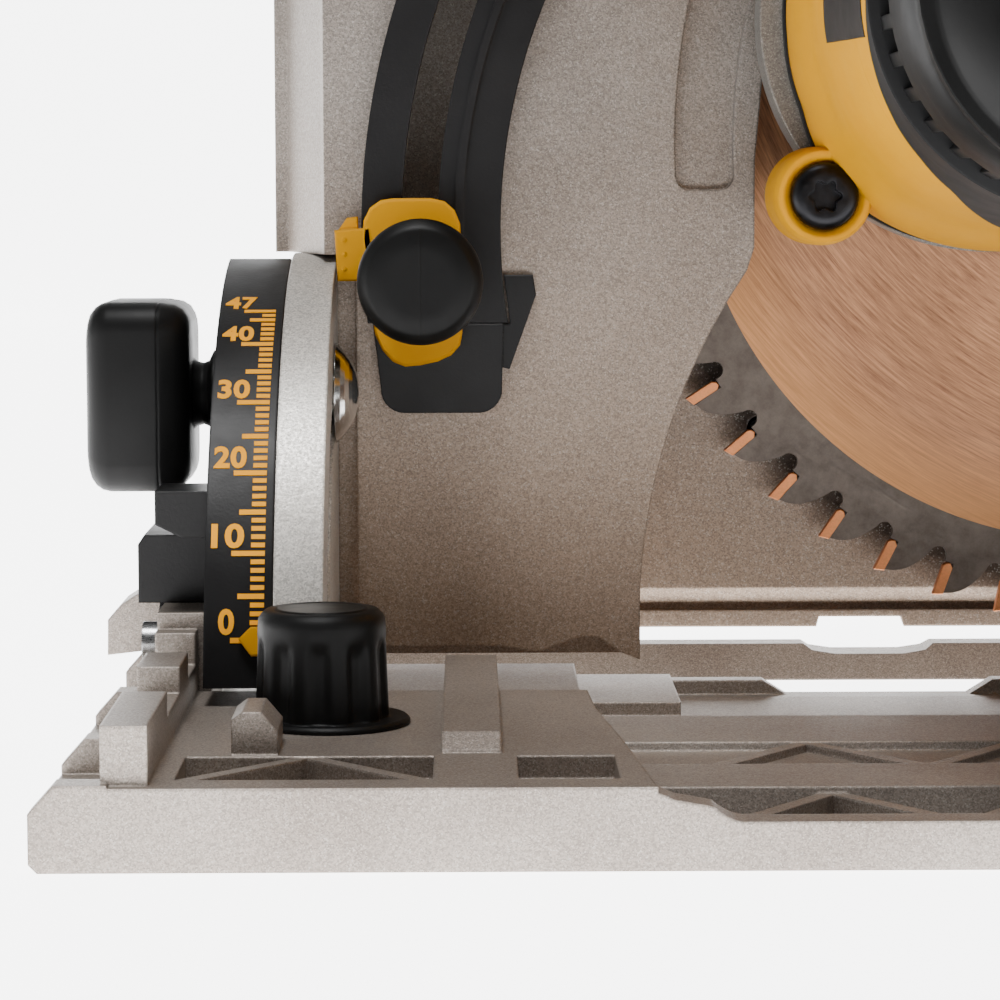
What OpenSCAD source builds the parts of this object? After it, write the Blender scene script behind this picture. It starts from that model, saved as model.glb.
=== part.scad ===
// Plunge-cut circular saw: a blade guard that bevels on the shoe, and a motor carriage that
// plunges on two parallel links. +X points to the rear, +Y to the blade side, +Z up.
// The origin is on the sole, half way along the shoe and blade_y from the blade's plane.

/* [Shoe] */
// Length of the shoe, front to rear
shoe_l = 330; // [300:1:360]
// Distance from the origin to the shoe's near edge
shoe_near = 82; // [76:1:90]
// Distance from the origin to the shoe's far edge
shoe_far = 88; // [86:1:96]
// Thickness of the web over the sole
web_t = 2.8; // [2:0.1:3]
// Height of the decks at the two ends
deck_h = 10.8; // [10:0.1:11]
// Height of the shelf behind each deck, under the guard
shelf_h = 7.5; // [6:0.5:8]
// Height of the bands in the low middle of the shoe
band_h = 6.3; // [5.5:0.1:6.5]
// Height of the transverse walls that carry the bevel quadrants
cross_h = 18.5; // [16:0.5:20]
// Width of the guide-rail groove
rail_w = 14.6; // [12:0.1:16]
// Depth of the guide-rail groove
rail_d = 2.8; // [2:0.1:3]

/* [Blade] */
// Blade diameter over the tips
blade_d = 165; // [160:1:165]
// Number of teeth
teeth = 48; // [24:1:48]
// Thickness of the blade's plate
plate_t = 1.2; // [1:0.1:1.8]
// Width of the carbide tips
kerf = 1.8; // [1.6:0.1:2.4]
// Distance of the blade's plane from the origin
blade_y = 56; // [55.5:0.1:56.5]

/* [Plunge] */
// Spindle position behind the origin at rest (negative is in front)
spindle_x = -3.7; // [-4:0.1:-3]
// Height of the spindle at rest
spindle_z = 95.3; // [95:0.1:96]
// Distance between the two pivots of a link
link_l = 109; // [108:0.5:110]
// Angle of the links above level at rest, and below level at full depth
link_a = 19.3; // [18:0.1:19.5]

/* [Bevel] */
// Outer radius of the bevel quadrants
quad_r = 75; // [74:0.1:76]
// Radius of the bevel slot's centreline
slot_r = 58; // [57:0.5:59]
// Angle of the clamp bolt around the bevel axis, above level
bolt_a = 66.5; // [65:0.5:68]
// Largest bevel angle
bevel_max = 47; // [45:1:47]

/* [Guard] */
// Near face of the guard's near wall
guard_y = 42; // [41.8:0.1:42.2]
// Far face of the guard
guard_far = 68; // [67.5:0.5:68.5]
// Height of the guard's top
guard_top = 187; // [186:1:190]
// Front of the guard at its near wall
guard_front = -132.5; // [-133:0.1:-132]
// Rear of the guard
guard_rear = 136; // [135.8:0.1:136]
// Thickness of the near wall
guard_t = 3; // [2.5:0.5:3]

/* [Depth stop] */
// Radius of the depth slot's centreline
depth_r = 109; // [108:0.5:110]
// Radius of the depth knob
depth_knob_r = 9.8; // [9:0.1:10]

/* [Motor] */
// Radius of the motor housing's barrel
motor_r = 32; // [31:0.5:32]
// Radius of the motor housing's flange
flange_r = 35.5; // [35:0.1:35.5]
// Radius of the gearcase around the motor's axis
gearcase_r = 36.5; // [36:0.1:36.5]
// Gear module
gear_m = 1.2; // [1.2:0.01:1.2]
// Teeth on the armature's pinion
pinion_n = 20; // [20:1:20]
// Teeth on the spindle's gear
gear_n = 28; // [28:1:28]

/* [Handles] */
// Width of the rear handle
grip_w = 32; // [28:1:34]
// Width of the front handle
front_grip_w = 26; // [22:1:28]

/* [Hidden] */
$fn = 64;

silver = "#b9b5ad";
black = "#232325";
yellow = "#f6b21c";
steel = "#9a9c9e";
copper = "#b0713c";

shoe_x = shoe_l / 2;
axis_y = blade_y;                        // the bevel axis lies in the blade's plane, on the sole
gap = 0.1;                               // between faces that slide on each other
blade_r = blade_d / 2;

// The spindle, the motor's axis and the link pivots at rest, as [X, Z]
spindle = [spindle_x, spindle_z];
gear_c = gear_m * (gear_n + pinion_n) / 2;
gear_a = 144.5;
motor = spindle + gear_c * [cos(gear_a), sin(gear_a)];
link_v = link_l * [cos(link_a), -sin(link_a)];
low_pin = [24.5, 84.5];
high_pin = [24.5, 129.5];
low_pivot = low_pin + link_v;
high_pivot = high_pin + link_v;
link_y0 = 36.2;
link_y1 = 41;
pin_r = 4;
eye_r = 7;

// The two ends of the shoe carry the same bevel parts, a little apart in X
front_x = -138;                          // rear face of the front quadrant
rear_x = 143.4;                          // front face of the rear quadrant
quad_t = 10;
bracket_t = 7.4;
quad_low = 13.5;
slot_w = 8.6;
bolt_yz = [axis_y - slot_r * cos(bolt_a), slot_r * sin(bolt_a)];

// The depth stop turns about this centre, [X, Z]
depth_c = [-8, 79];
stop_a = 4.1;                            // how far the knob starts below level

// Depths in Y through the drive, from the motor's cap to the blade
case_y0 = 26;
case_y1 = 35.5;
boss_y = 50;
boss_r = 17;
gear_y0 = 29.3;
gear_y1 = 33.5;
housing_y0 = -45;
cap_y0 = -88;
shaft_r = 6;
play = 0.05;                             // radial clearance of a running fit

// ---------- helpers ----------

function arc(c, r, a0, a1, n = 16) =
    [for (i = [0:n]) c + r * [cos(a0 + (a1 - a0) * i / n), sin(a0 + (a1 - a0) * i / n)]];

// A side view in X and Z, made solid between two depths in Y
module side(y0, y1) translate([0, y1, 0]) rotate([90, 0, 0]) linear_extrude(y1 - y0) children();

// A front view in Y and Z, made solid between two places in X
module front(x0, x1) translate([x0, 0, 0]) rotate([90, 0, 90]) linear_extrude(x1 - x0) children();

module box(a, b) translate(a) cube(b - a);
module rod_x(x0, x1, r, yz) translate([x0, yz[0], yz[1]]) rotate([0, 90, 0]) cylinder(h = x1 - x0, r = r);
module rod_y(y0, y1, r, xz) translate([xz[0], y0, xz[1]]) rotate([-90, 0, 0]) cylinder(h = y1 - y0, r = r);
module cone_y(y0, y1, r0, r1, xz)
    translate([xz[0], y0, xz[1]]) rotate([-90, 0, 0]) cylinder(h = y1 - y0, r1 = r0, r2 = r1);
module blob(circles) hull() for (c = circles) translate([c[0], c[1]]) circle(r = c[2], $fn = 32);

// A wedge between two angles, to cut a sector out of a disc
module wedge(c, r, a0, a1) polygon(concat([c], arc(c, r, a0, a1, 8)));

// A screw with a round head and a six-lobe socket, its head at y and its shank towards +Y
module screw_y(y, xz, head_r, shank) difference() {
    union() {
        rod_y(y, y + 3, head_r, xz);
        rod_y(y + 3, y + shank, head_r * 0.5, xz);
    }
    rod_y(y - 1, y + 2, head_r * 0.5, xz);
}

// ---------- shoe ----------

// The bands and pockets of the low middle, as seen from the front
low_profile = [[-shoe_near, 0], [-shoe_near, band_h], [5 - shoe_near, band_h], [6 - shoe_near, 2.5],
    [-59, 2.5], [-58, band_h], [-41, band_h], [-40.5, 5], [-23.5, 5], [-23, band_h], [0, band_h],
    [12, web_t + 0.2], [40, web_t], [50, 2], [50, 0]];
far_profile = [[75.5, 0], [81.5, 5.6], [shoe_far - 1, 5.6], [shoe_far, 4.6], [shoe_far, 0]];
slot_x0 = -139.5;
slot_x1 = 146;
deck_x = 90;
knob_xy = [130, -32];
fin_y = [-79.5, -44.5, -3.4, 40];
screw_y = [2, 30];
screw_z = 17.5;

// Zigzag stiffening ribs across a pocket, each overlapping the next
module zigzag(y0, y1, x0, x1, z0, z1, pitch = 26) {
    n = floor((x1 - x0) / pitch);
    step = (x1 - x0) / n;
    for (i = [0:n - 1]) translate([x0 + i * step, 0, z0]) linear_extrude(z1 - z0) {
        polygon([[-0.7, y0], [2.5, y0], [step / 2 + 1.2, y1], [step / 2 - 1.6, y1]]);
        polygon([[step / 2 - 1.2, y1], [step / 2 + 1.6, y1], [step + 0.7, y0], [step - 2.5, y0]]);
    }
}

// The front deck, with its quadrant's outer face at -face; the rear one is its mirror image
module end_deck(face) {
    x0 = face + 2;
    x1 = face + 8;
    difference() {
        linear_extrude(deck_h) polygon([[-x1, -shoe_near], [-x1, -3], [-deck_x - 1.6, -3],
            [-deck_x - 1, -20], [1.5 - deck_x, -45], [4.5 - deck_x, -shoe_near]]);
        box([-x0 + 3, -76, 7.6], [-114, -59, deck_h + 1]);
        box([-103, -76, 7.6], [-90, -59, deck_h + 1]);
    }
    zigzag(-76.6, -58.4, -x0 + 2, -113.5, 5, deck_h - 0.2);
    box([-x1, -4, 0], [-deck_x - 2, 46, shelf_h]);
    box([-94, 20, 0], [-76, 49, 5.2]);
    // The near wall runs down to the low middle in a curve
    side(-shoe_near, 5 - shoe_near) polygon(concat([[-deck_x, 0]],
        arc([-deck_x, deck_h - 14], 14, 90, 62, 6), arc([-73.5, band_h + 6.9], 7, 225, 270, 6),
        [[-73, 0]]));
    front(-113, -105) polygon([[-57, 0], [-57, deck_h + 0.4], [-53.5, deck_h + 2.4], [17, deck_h + 2.4],
        [18, deck_h + 1.4], [18, 0]]);
    // The transverse wall steps up where it carries the bevel quadrant
    box([-x1, -shoe_near + 2, 0], [-x0, 46, cross_h - 3.3]);
    box([-x1, -shoe_near + 2, 0], [-x0, -52, cross_h]);
    box([-x1, -33, 0], [-x0, -19, cross_h + 0.5]);
    box([-x1, -6, 0], [-x0, 46, cross_h + 1.5]);
    box([-x1, -2, 0], [-face, 46, cross_h + 4]);
    for (y = fin_y) side(y - 2.5, y + 2.5) polygon([[-shoe_x, 0], [-shoe_x, 7.6],
        [3.2 - shoe_x, 11.2], [1 - x1, 11.2], [1 - x1, 0]]);
    // A stop pad with a sloping top
    side(-58, -46) polygon([[-141, 5], [-141, 15.5], [-139.5, 16.6], [-137, 16.6], [-134.8, 14],
        [-134.8, 5]]);
}

module shoe() color(silver) difference() {
    union() {
        front(-shoe_x, shoe_x) polygon(low_profile);
        difference() {
            front(-shoe_x, shoe_x) polygon(far_profile);
            side(74, 90) polygon([[-51, 6], [-49, 4.6], [-45, 4], [-33, 4], [-29, 4.6], [-27, 6]]);
        }
        end_deck(quad_t - front_x);
        mirror([1, 0, 0]) end_deck(rear_x + quad_t);
        for (s = [-1, 1]) {
            box([s > 0 ? slot_x1 : -shoe_x, 45, 0], [s > 0 ? shoe_x : slot_x0, 78, 5]);
            box([s > 0 ? 155.4 : -156, 45, 0], [s > 0 ? 161.4 : -150, 78, 9]);
        }
        zigzag(-77.2, -57.8, -76, 76, 1, 5.4);
        zigzag(-41.2, -22.8, -76, 76, 1, band_h - 0.2);
        // Lugs at the edge of the slot
        side(44, 47.5) polygon([[-92, 1], [-92, 4.9], [-61, 4.9], [-57, 2.4], [-57, 1]]);
        side(44, 47.5) polygon([[-27, 1], [-27, 2.4], [-23, 4.9], [92, 4.9], [92, 1]]);
        // Sight lug beside the line of cut
        side(50, 62) polygon([[-169.3, 8.6], [-169.2, 14.5], [-167, 17], [-164.4, 18.7], [-150, 18.7],
            [-150, 2], [-159, 2], [-160.5, 9.6]]);
    }
    // The slot that the blade and the tilting guard pass through
    box([slot_x0, 50, -1], [slot_x1, 75, 40]);
    // Guide-rail groove in the sole, full length
    box([-shoe_x - 1, knob_xy[1] - rail_w / 2, -1], [shoe_x + 1, knob_xy[1] + rail_w / 2, rail_d]);
    // Sockets for the rail knobs' stems
    for (s = [-1, 1]) translate([s * knob_xy[0], knob_xy[1], -1]) cylinder(h = 20, r = 4 + play);
    // Front and rear edges are chamfered at the sole
    for (s = [-1, 1]) translate([s * shoe_x, 0, 0]) rotate([0, 45, 0]) cube([1.6, 200, 1.6], center = true);
    // Holes for the quadrant screws
    for (y = screw_y) {
        rod_x(-170, -140, 2, [y, screw_z]);
        rod_x(140, 170, 2, [y, screw_z]);
    }
}

// ---------- bevel quadrants, brackets and clamps ----------

// A fixed quadrant between x0 and x1, centred on the bevel axis
module quadrant(x0, x1) difference() {
    intersection() {
        rod_x(x0, x1, quad_r, [axis_y, 0]);
        box([x0 - 1, axis_y - quad_r - 1, quad_low], [x1 + 1, axis_y - 10, quad_r - 0.7]);
    }
    rod_x(x0 - 1, x1 + 1, 26, [axis_y, 0]);
    rod_x(x0 - 1, x1 + 1, 4, bolt_yz);
    for (y = screw_y) rod_x(x0 - 1, x1 + 1, 2, [y, screw_z]);
}

module front_quadrant() color(black) quadrant(front_x - quad_t, front_x);
module rear_quadrant() color(black) quadrant(rear_x, rear_x + quad_t);

module quadrant_screws() color(steel) for (y = screw_y) {
    front_face = front_x - quad_t - 8;
    rear_face = rear_x + quad_t + 8;
    rod_x(front_face - 2.5, front_face, 3.2, [y, screw_z]);
    rod_x(front_face, front_x - 2, 2, [y, screw_z]);
    rod_x(rear_face, rear_face + 2.5, 3.2, [y, screw_z]);
    rod_x(rear_x + 2, rear_face, 2, [y, screw_z]);
}

// The clamp bolts are held by the quadrants; the bracket's slot slides along them
module clamp_bolts() color("#c8c8c8") {
    rod_x(front_x - quad_t - 12, front_x + bracket_t + 0.2, 4, bolt_yz);
    translate([front_x + bracket_t + 0.2, bolt_yz[0], bolt_yz[1]]) rotate([0, 90, 0]) rotate_extrude()
        polygon(concat([[0, 0], [8, 0]], arc([0.2, -6.4], 10.1, 40, 90, 8)));
    rod_x(rear_x - bracket_t - 0.2, rear_x + quad_t + 12, 4, bolt_yz);
    rod_x(rear_x - bracket_t - 1.4, rear_x - bracket_t - 0.2, 7, bolt_yz);
}

module bevel_stop_block() color(black) {
    difference() {
        side(10, 31) polygon([[-160, 22.5], [-160, 31.5], [-159, 33], [-153.5, 33], [-152.5, 37],
            [-148, 37], [-148, 22.5]]);
        side(13, 28) polygon([[-161, 24], [-161, 29.5], [-157.5, 29.5], [-157.5, 24]]);
    }
    side(-4, 9) polygon([[-156, 36], [-156, 41], [-148, 41], [-148, 34], [-152, 34]]);
}

// A clamp knob: a block with rounded sides, round a threaded hub
module bevel_knob(flip) translate([0, bolt_yz[0], bolt_yz[1]]) mirror([flip ? 1 : 0, 0, 0]) difference() {
    union() {
        rotate([90, 0, 90]) intersection() {
            linear_extrude(16) blob([[-9, 10.6, 4], [9, 10.6, 4], [9, -10.6, 4], [-9, -10.6, 4]]);
            translate([0, 0, -1]) cylinder(h = 22, r = 15.4);
        }
        rod_x(-4.9, 1, 7, [0, 0]);
    }
    rod_x(-6, 9.5, 4 + play, [0, 0]);
}

module front_bevel_knob() color(black) translate([front_x - quad_t - 5, 0, 0]) bevel_knob(true);
module rear_bevel_knob() color(black) translate([rear_x + quad_t + 5, 0, 0]) bevel_knob(false);

// A fluted knob that turns a cam in the rail groove
module rail_knob(x) translate([x, knob_xy[1], deck_h + gap]) {
    difference() {
        cylinder(h = 15.4, r = 9);
        for (a = [0:30:330]) rotate([0, 0, a]) translate([10.2, 0, -1]) cylinder(h = 18, r = 1.9);
    }
    translate([0, 0, 15]) cylinder(h = 1.2, r = 7.4);
    translate([1.2, 0, 0]) cylinder(h = 0.9, r = 11.2);
    translate([0, 0, 0.4 - deck_h]) cylinder(h = deck_h + 1, r = 4);
    translate([1, 0, 0.4 - deck_h]) cylinder(h = rail_d - 0.8, r = 5.6);
}

module front_rail_knob() color(black) rail_knob(-knob_xy[0]);
module rear_rail_knob() color(black) rail_knob(knob_xy[0]);

// A bracket that carries the guard: a sector with the bevel slot through it
module bracket(x0, x1) difference() {
    intersection() {
        rod_x(x0, x1, quad_r, [axis_y, 0]);
        front(x0 - 1, x1 + 1) polygon([[-20, 12.5], [54, 12.5], [guard_far - 0.5, 16], [guard_far - 0.5, 80],
            [-20, 80]]);
    }
    // The slot's centreline runs from a0 to a1
    a0 = 180 - bolt_a;
    a1 = a0 + bevel_max;
    front(x0 - 1, x1 + 1) polygon(concat(
        arc([axis_y, 0], slot_r + slot_w / 2, a0, a1, 24),
        arc([axis_y, 0] + slot_r * [cos(a1), sin(a1)], slot_w / 2, a1, a1 + 180, 12),
        arc([axis_y, 0], slot_r - slot_w / 2, a1, a0, 24),
        arc([axis_y, 0] + slot_r * [cos(a0), sin(a0)], slot_w / 2, a0 + 180, a0 + 360, 12)));
}

module front_bevel_bracket() color(silver) bracket(front_x + gap, front_x + bracket_t);
module rear_bevel_bracket() color(silver) bracket(rear_x - bracket_t, rear_x - gap);

// The pointer reads the scale on the front quadrant's rim
module bevel_pointer() color(yellow) {
    a = 15.5;
    translate([0, axis_y, 0]) rotate([-a, 0, 0]) mirror([0, 1, 0]) {
        box([-137.5, quad_r, -2.1], [-131.5, quad_r + 1.8, 2.1]);
        side(quad_r + 0.3, quad_r + 1.5) polygon([[-137, -2.1], [-137, 2.1], [-141, 2.1], [-142.8, 0.3],
            [-141, -2.1]]);
    }
}

// ---------- guard ----------

guard_lip = -141.7;
groove_c = [37.9, 93];
rear_arc_r = 69;
front_arc_r = 46;

// The guard's side view; d shrinks it for the inside
function guard_outline(d) = concat(
    [[guard_lip + d, -10]],
    arc([guard_lip + front_arc_r, guard_top - front_arc_r], front_arc_r - d, 180, 90, 14),
    arc([guard_rear - rear_arc_r, guard_top - rear_arc_r], rear_arc_r - d, 90, 0, 18),
    [[guard_rear - d, -10]]);

// The guard's plan: its front face slants forward towards the blade side
guard_plan = [[guard_front, guard_y], [guard_front - 0.6, guard_y + 3], [-139.5, 65.5], [guard_lip - 1, 66],
    [guard_lip - 1, guard_far], [150, guard_far], [150, guard_y]];

// What the near wall leaves open for the gearcase; its front edge is a long S
near_opening = concat(
    [[-81.3, -5], [-81.3, 20]], arc([20, 15.6], 101.4, 177, 146, 10),
    [[-62.9, 76], [-62.9, 90], [-61, 112], [-61, 140]], arc([-49, 148], 12, 180, 90, 6),
    arc([50, 148], 12, 90, 0, 6), [[62, 20], [66, 10], [66, -5]]);

// The bottom edge of the walls; the far wall is higher outside so that it clears the work
near_bottom = [[-150, -20], [-150, 11], [-104, 11], [-97.7, 10], [-91, 12.6], [-88, 12.4], [-84.6, 10],
    [-81.3, 8.7], [-70, 8.7], [-70, -20]];
inner_bottom = [[-150, -20], [-150, 9.6], [-84, 9.6], [-81.3, 8.7], [-70, 8.7], [-70, -20]];
rear_bottom = [[60, -20], [60, 9.5], [80, 9.5], [84, 11], [150, 11], [150, -20]];

module guard_shell() color(silver) difference() {
    intersection() {
        side(guard_y - 5, guard_far + 5) polygon(guard_outline(0));
        translate([0, 0, -1]) linear_extrude(200) polygon(guard_plan);
    }
    // Inside
    intersection() {
        side(guard_y + guard_t, guard_far - guard_t) polygon(guard_outline(guard_t));
        box([-127.4, 0, -8], [150, 100, 190]);
    }
    side(guard_y - 1, guard_y + guard_t + 0.5) polygon(near_opening);
    side(guard_y - 1, guard_y + 2) polygon(near_bottom);
    side(guard_y - 1, guard_far - 7) polygon(inner_bottom);
    front(-124, 124) polygon([[64, 13.8], [66.8, 13.8], [65, 17.6], [64, 17.6]]);
    side(guard_y - 1, guard_far - 7) polygon(rear_bottom);
    // The far wall's lip: a lower inner edge, a notch, and a higher outer edge
    front(-150, 150) polygon([[58, -20], [58, 10.9], [66, 10.9], [guard_far + 1, 14.1],
        [guard_far + 1, -20]]);
    side(60, 80) polygon([[-51.5, 5], [-49.5, 12.6], [-35.5, 12.6], [-33, 5]]);
    // The brackets stand in front of and behind the lower walls
    box([-150, 40, -10], [front_x + bracket_t, 80, quad_r]);
    box([-150, 40, -10], [-127.4, 46, quad_r]);
    // Blind arc groove over the carriage's path, with a square foot
    side(guard_y - 1, guard_y + 2.2) polygon(concat(arc(groove_c, depth_r + 4.7, 148, 182.7),
        arc([-73.27, 87.6], 2.4, 180, 270, 5), arc([-68.66, 87.6], 2.4, 270, 360, 5),
        arc(groove_c, depth_r - 4.7, 183, 145)));
    // Depth slot
    depth_arc(guard_y - 1, guard_y + guard_t + 1, depth_r - 2.9, depth_r + 2.9, -8, 36);
    // Holes for the link pins, the dust outlet and the screws of the far cover
    for (p = [low_pivot, high_pivot]) rod_y(guard_y - 1, guard_y + guard_t + 1, pin_r, p);
    rod_x(guard_rear - 5, guard_rear + 1, 15, [axis_y, dust_z]);
    for (p = cover_screws) rod_y(60, 70, 2, p);
}

dust_z = 98;
cover_screws = [[-70, 160], [55, 160], [-60, 45], [52, 45]];

// Part of a ring about the depth stop's centre, from angle a0 to a1 above level
module depth_arc(y0, y1, r0, r1, a0, a1) intersection() {
    difference() {
        rod_y(y0, y1, r1, depth_c);
        rod_y(y0 - 1, y1 + 1, r0, depth_c);
    }
    side(y0 - 2, y1 + 2) wedge(depth_c, 150, 180 - a1, 180 - a0);
}

// A raised cover over the blade on the far side, with the arbor's bulge
module guard_cover() color(silver) difference() {
    union() {
        side(guard_far, guard_far + 2) blob([[-70, 158, 10], [56, 158, 10], [52, 44, 10], [-60, 44, 10]]);
        cone_y(guard_far + 2, guard_far + 5, 46, 42, [-3.7, 95]);
    }
    for (p = cover_screws) rod_y(60, 75, 2, p);
}

module depth_track() color(black) difference() {
    union() {
        depth_arc(guard_y - 3, guard_y, depth_r + 2.9, depth_r + 9.4, -9, 38);
        depth_arc(guard_y - 3, guard_y, depth_r - 13, depth_r - 2.9, -9, 38);
        depth_arc(guard_y - 3.8, guard_y - 3, depth_r - 7, depth_r - 5.6, -6, 38);
        depth_arc(guard_y - 3, guard_y, depth_r - 13, depth_r + 9.4, 36, 38);
    }
    side(guard_y - 5, guard_y + 1) polygon([[-140, 50], [-140, 64], [-90, 64], [-90, 50]]);
}

// The pad at the foot of the track, with the wing that shields its edge
module depth_pad() color(black) {
    side(guard_y - 3, guard_y) polygon(concat([[-124.6, 63.9], [-123.4, 53.5]],
        arc([-119.6, 53.3], 3.8, 190, 270, 6), arc([-107.6, 53.3], 3.8, 270, 350, 6), [[-103.6, 63.9]]));
    side(guard_y - 2, guard_y) polygon([[-104.6, 57], [-102.6, 56.5], [-98.3, 68.5], [-98.8, 71.7],
        [-103.5, 71.7], [-102.9, 67], [-102.5, 63.8], [-104.6, 63.8]]);
}

module guard_link_pins() color(steel) for (p = [low_pivot, high_pivot]) {
    rod_y(link_y0 - 1.2, guard_y + guard_t, pin_r, p);
    rod_y(link_y0 - 2.6, link_y0 - 0.2, pin_r + 2, p);
    rod_y(guard_y + guard_t, guard_y + guard_t + 2, pin_r + 1.4, p);
    // The upper pin is longer, to hold the return spring
    if (p == high_pivot) {
        rod_y(24, link_y0 - 1, pin_r + 1, p);
        rod_y(22.6, 24, pin_r + 5.5, p);
    }
}

module guard_screws() color(steel) for (p = cover_screws) {
    rod_y(guard_far - 3, guard_far + 2, 2, p);
    rod_y(guard_far + 2, guard_far + 4, 3.6, p);
}

// A torsion spring about the upper guard pivot, drawn as closed coils
module return_spring() color(steel) for (i = [0:4]) translate([high_pivot[0], 25 + i * 1.9, high_pivot[1]])
    rotate([90, 0, 0]) rotate_extrude() translate([8.5, 0]) circle(r = 0.9, $fn = 16);

module dust_collar() color(black) difference() {
    rod_x(guard_rear, guard_rear + 9, 19, [axis_y, dust_z]);
    rod_x(guard_rear - 1, guard_rear + 10, 15, [axis_y, dust_z]);
    rod_x(guard_rear + 4, guard_rear + 10, 17 + play, [axis_y, dust_z]);
    box([guard_rear - 1, 0, 0], [guard_rear + 10, 100, quad_r + 0.2]);
}

// ---------- parts on the guard that move ----------

depth_knob_xz = depth_c - depth_r * [cos(stop_a), sin(stop_a)];

// It rides over the track, with a tongue between the two strips
module depth_slider() color(yellow) difference() {
    union() {
        side(35.2, 38.1) blob([[-121.4, 79.4, 4.6], [-115, 79.4, 4.6], [-112.6, 65, 3], [-116.5, 62, 4.5],
            [-121, 65, 3]]);
        side(35.2, 38.1) polygon([[-130.6, 79.2], [-124, 79.2], [-124, 70.8], [-130.2, 70.8]]);
        side(36.2, 38.1) polygon([[-130.6, 79], [-127, 81.2], [-126.9, 79]]);
        side(38, 41.8) polygon([[-119.2, 76], [-114.5, 76], [-114.5, 67], [-119.2, 67]]);
    }
    rod_y(30, 50, 2.5, depth_knob_xz);
}

module depth_knob() color(black) {
    translate([depth_knob_xz[0], 0, depth_knob_xz[1]]) rotate([-90, 0, 0]) rotate_extrude()
        polygon([[0, 17], [7.6, 17], [9.2, 17.8], [depth_knob_r, 19.4], [depth_knob_r, 24.5], [9, 26],
            [6, 26.4], [6, 35], [0, 35]]);
    rod_y(34.9, 46.2, 2.5 - play, depth_knob_xz);
    rod_y(45.4, 48.4, 5, depth_knob_xz);
}

// A swivelling outlet elbow for a vacuum hose
bend_x = 17;
bend_a = 30;

module dust_port() color(black) translate([guard_rear + 4 + gap, axis_y, dust_z]) {
    tail = [0, 90 - bend_a, 0];
    difference() {
        union() {
            rod_x(0, bend_x + 5, 17, [0, 0]);
            rod_x(5, 8, 18.8, [0, 0]);
            translate([bend_x, 0, 0]) rotate(tail) translate([0, 0, -4]) cylinder(h = 31, r = 17);
        }
        rod_x(-1, bend_x, 15, [0, 0]);
        translate([bend_x, 0, 0]) rotate(tail) translate([0, 0, -4]) cylinder(h = 32, r = 15);
    }
}

// ---------- plunge links ----------

module link(a, b) difference() {
    side(link_y0, link_y1) union() {
        blob([[a[0], a[1], eye_r], [b[0], b[1], eye_r]]);
    }
    for (p = [a, b]) rod_y(link_y0 - 1, link_y1 + 1, pin_r + play, p);
    side(link_y0 - 1, link_y0 + 1.4) blob([[a[0] + 17, a[1] - 5.9, 3.4], [b[0] - 17, b[1] + 5.9, 3.4]]);
}

module upper_link() color(black) link(high_pin, high_pivot);

// The lower link's front eye is left larger than its pin
module lower_link() color(black) difference() {
    link(low_pin, low_pivot);
    rod_y(link_y0 - 1, link_y1 + 1, pin_r + 0.35, low_pin);
}

// ---------- carriage: gearcase and motor ----------

boss_xz = [-55.3, 84.4];
lock_xy = [-8, 32.2];
case_screws = [boss_xz, [-55.3, 137], [2, 139], [-27, 150.2]];
case_hole_r = 2.6;
housing_screw_y = 9;

// The gearcase's side view, round the motor, the gear and the two link pins
module case_body(y0, y1) {
    rod_y(y0, y1, gearcase_r, motor);
    rod_y(y0, y1, 19.8, spindle);
    side(y0, y1) blob([[high_pin[0], high_pin[1], 8], [low_pin[0], low_pin[1], 7.5], [-4, 118, 22]]);
}

module gearcase() color("#8f8b84") difference() {
    union() {
        case_body(case_y0 + 3, case_y1);
        rod_y(case_y1, boss_y, boss_r, spindle);
        for (p = case_screws) rod_y(case_y0 + 3, case_y1 - 2, 6.8, p);
        // The arm that meets the depth stop
        side(35.2, 37.6) polygon([[-50, 128], [-52, 138], [-92, 152], [-98, 152], [-102.5, 147],
            [-102.5, 144.5], [-97.5, 144.5], [-60, 128]]);
        rod_y(case_y1 - 1, 36.4, 12, [-48, 130]);
    }
    rod_y(case_y0 + 2, gear_y1 + 0.4, 18.4, spindle);
    rod_y(case_y0 + 2, gear_y1 + 0.4, 13.6, motor);
    rod_y(30, 52, shaft_r + 1, spindle);
    rod_y(boss_y - 8, boss_y + 1, 13, spindle);
    for (p = [low_pin, high_pin]) rod_y(case_y0, case_y1 + 1, pin_r, p);
    for (p = case_screws) rod_y(case_y0, case_y1 + 1, case_hole_r, p);
    translate([lock_xy[0], lock_xy[1], 120]) cylinder(h = 40, r = 2.6 + play);
}

module bearing_plate() color("#8f8b84") difference() {
    union() {
        case_body(case_y0, case_y0 + 3);
        for (p = case_screws) rod_y(case_y0, case_y0 + 3, 6.8, p);
        rod_y(case_y0 - 5, case_y0, 14, motor);
    }
    rod_y(case_y0 - 6, case_y0 + 1, 11, motor);
    rod_y(case_y0, case_y0 + 4, 7, motor);
    rod_y(case_y0 - 1, case_y0 + 4, 8, spindle);
    for (p = [low_pin, high_pin]) rod_y(case_y0 - 1, case_y0 + 4, pin_r, p);
    for (p = case_screws) rod_y(case_y0 - 1, case_y0 + 4, case_hole_r, p);
}

module gasket() color(black) difference() {
    union() {
        rod_y(case_y0 - 1.2, case_y0, gearcase_r - 0.4, motor);
        for (p = case_screws) rod_y(case_y0 - 1.2, case_y0, 6.4, p);
    }
    rod_y(case_y0 - 2, case_y0 + 1, 31, motor);
    for (p = case_screws) rod_y(case_y0 - 2, case_y0 + 1, case_hole_r, p);
}

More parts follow.
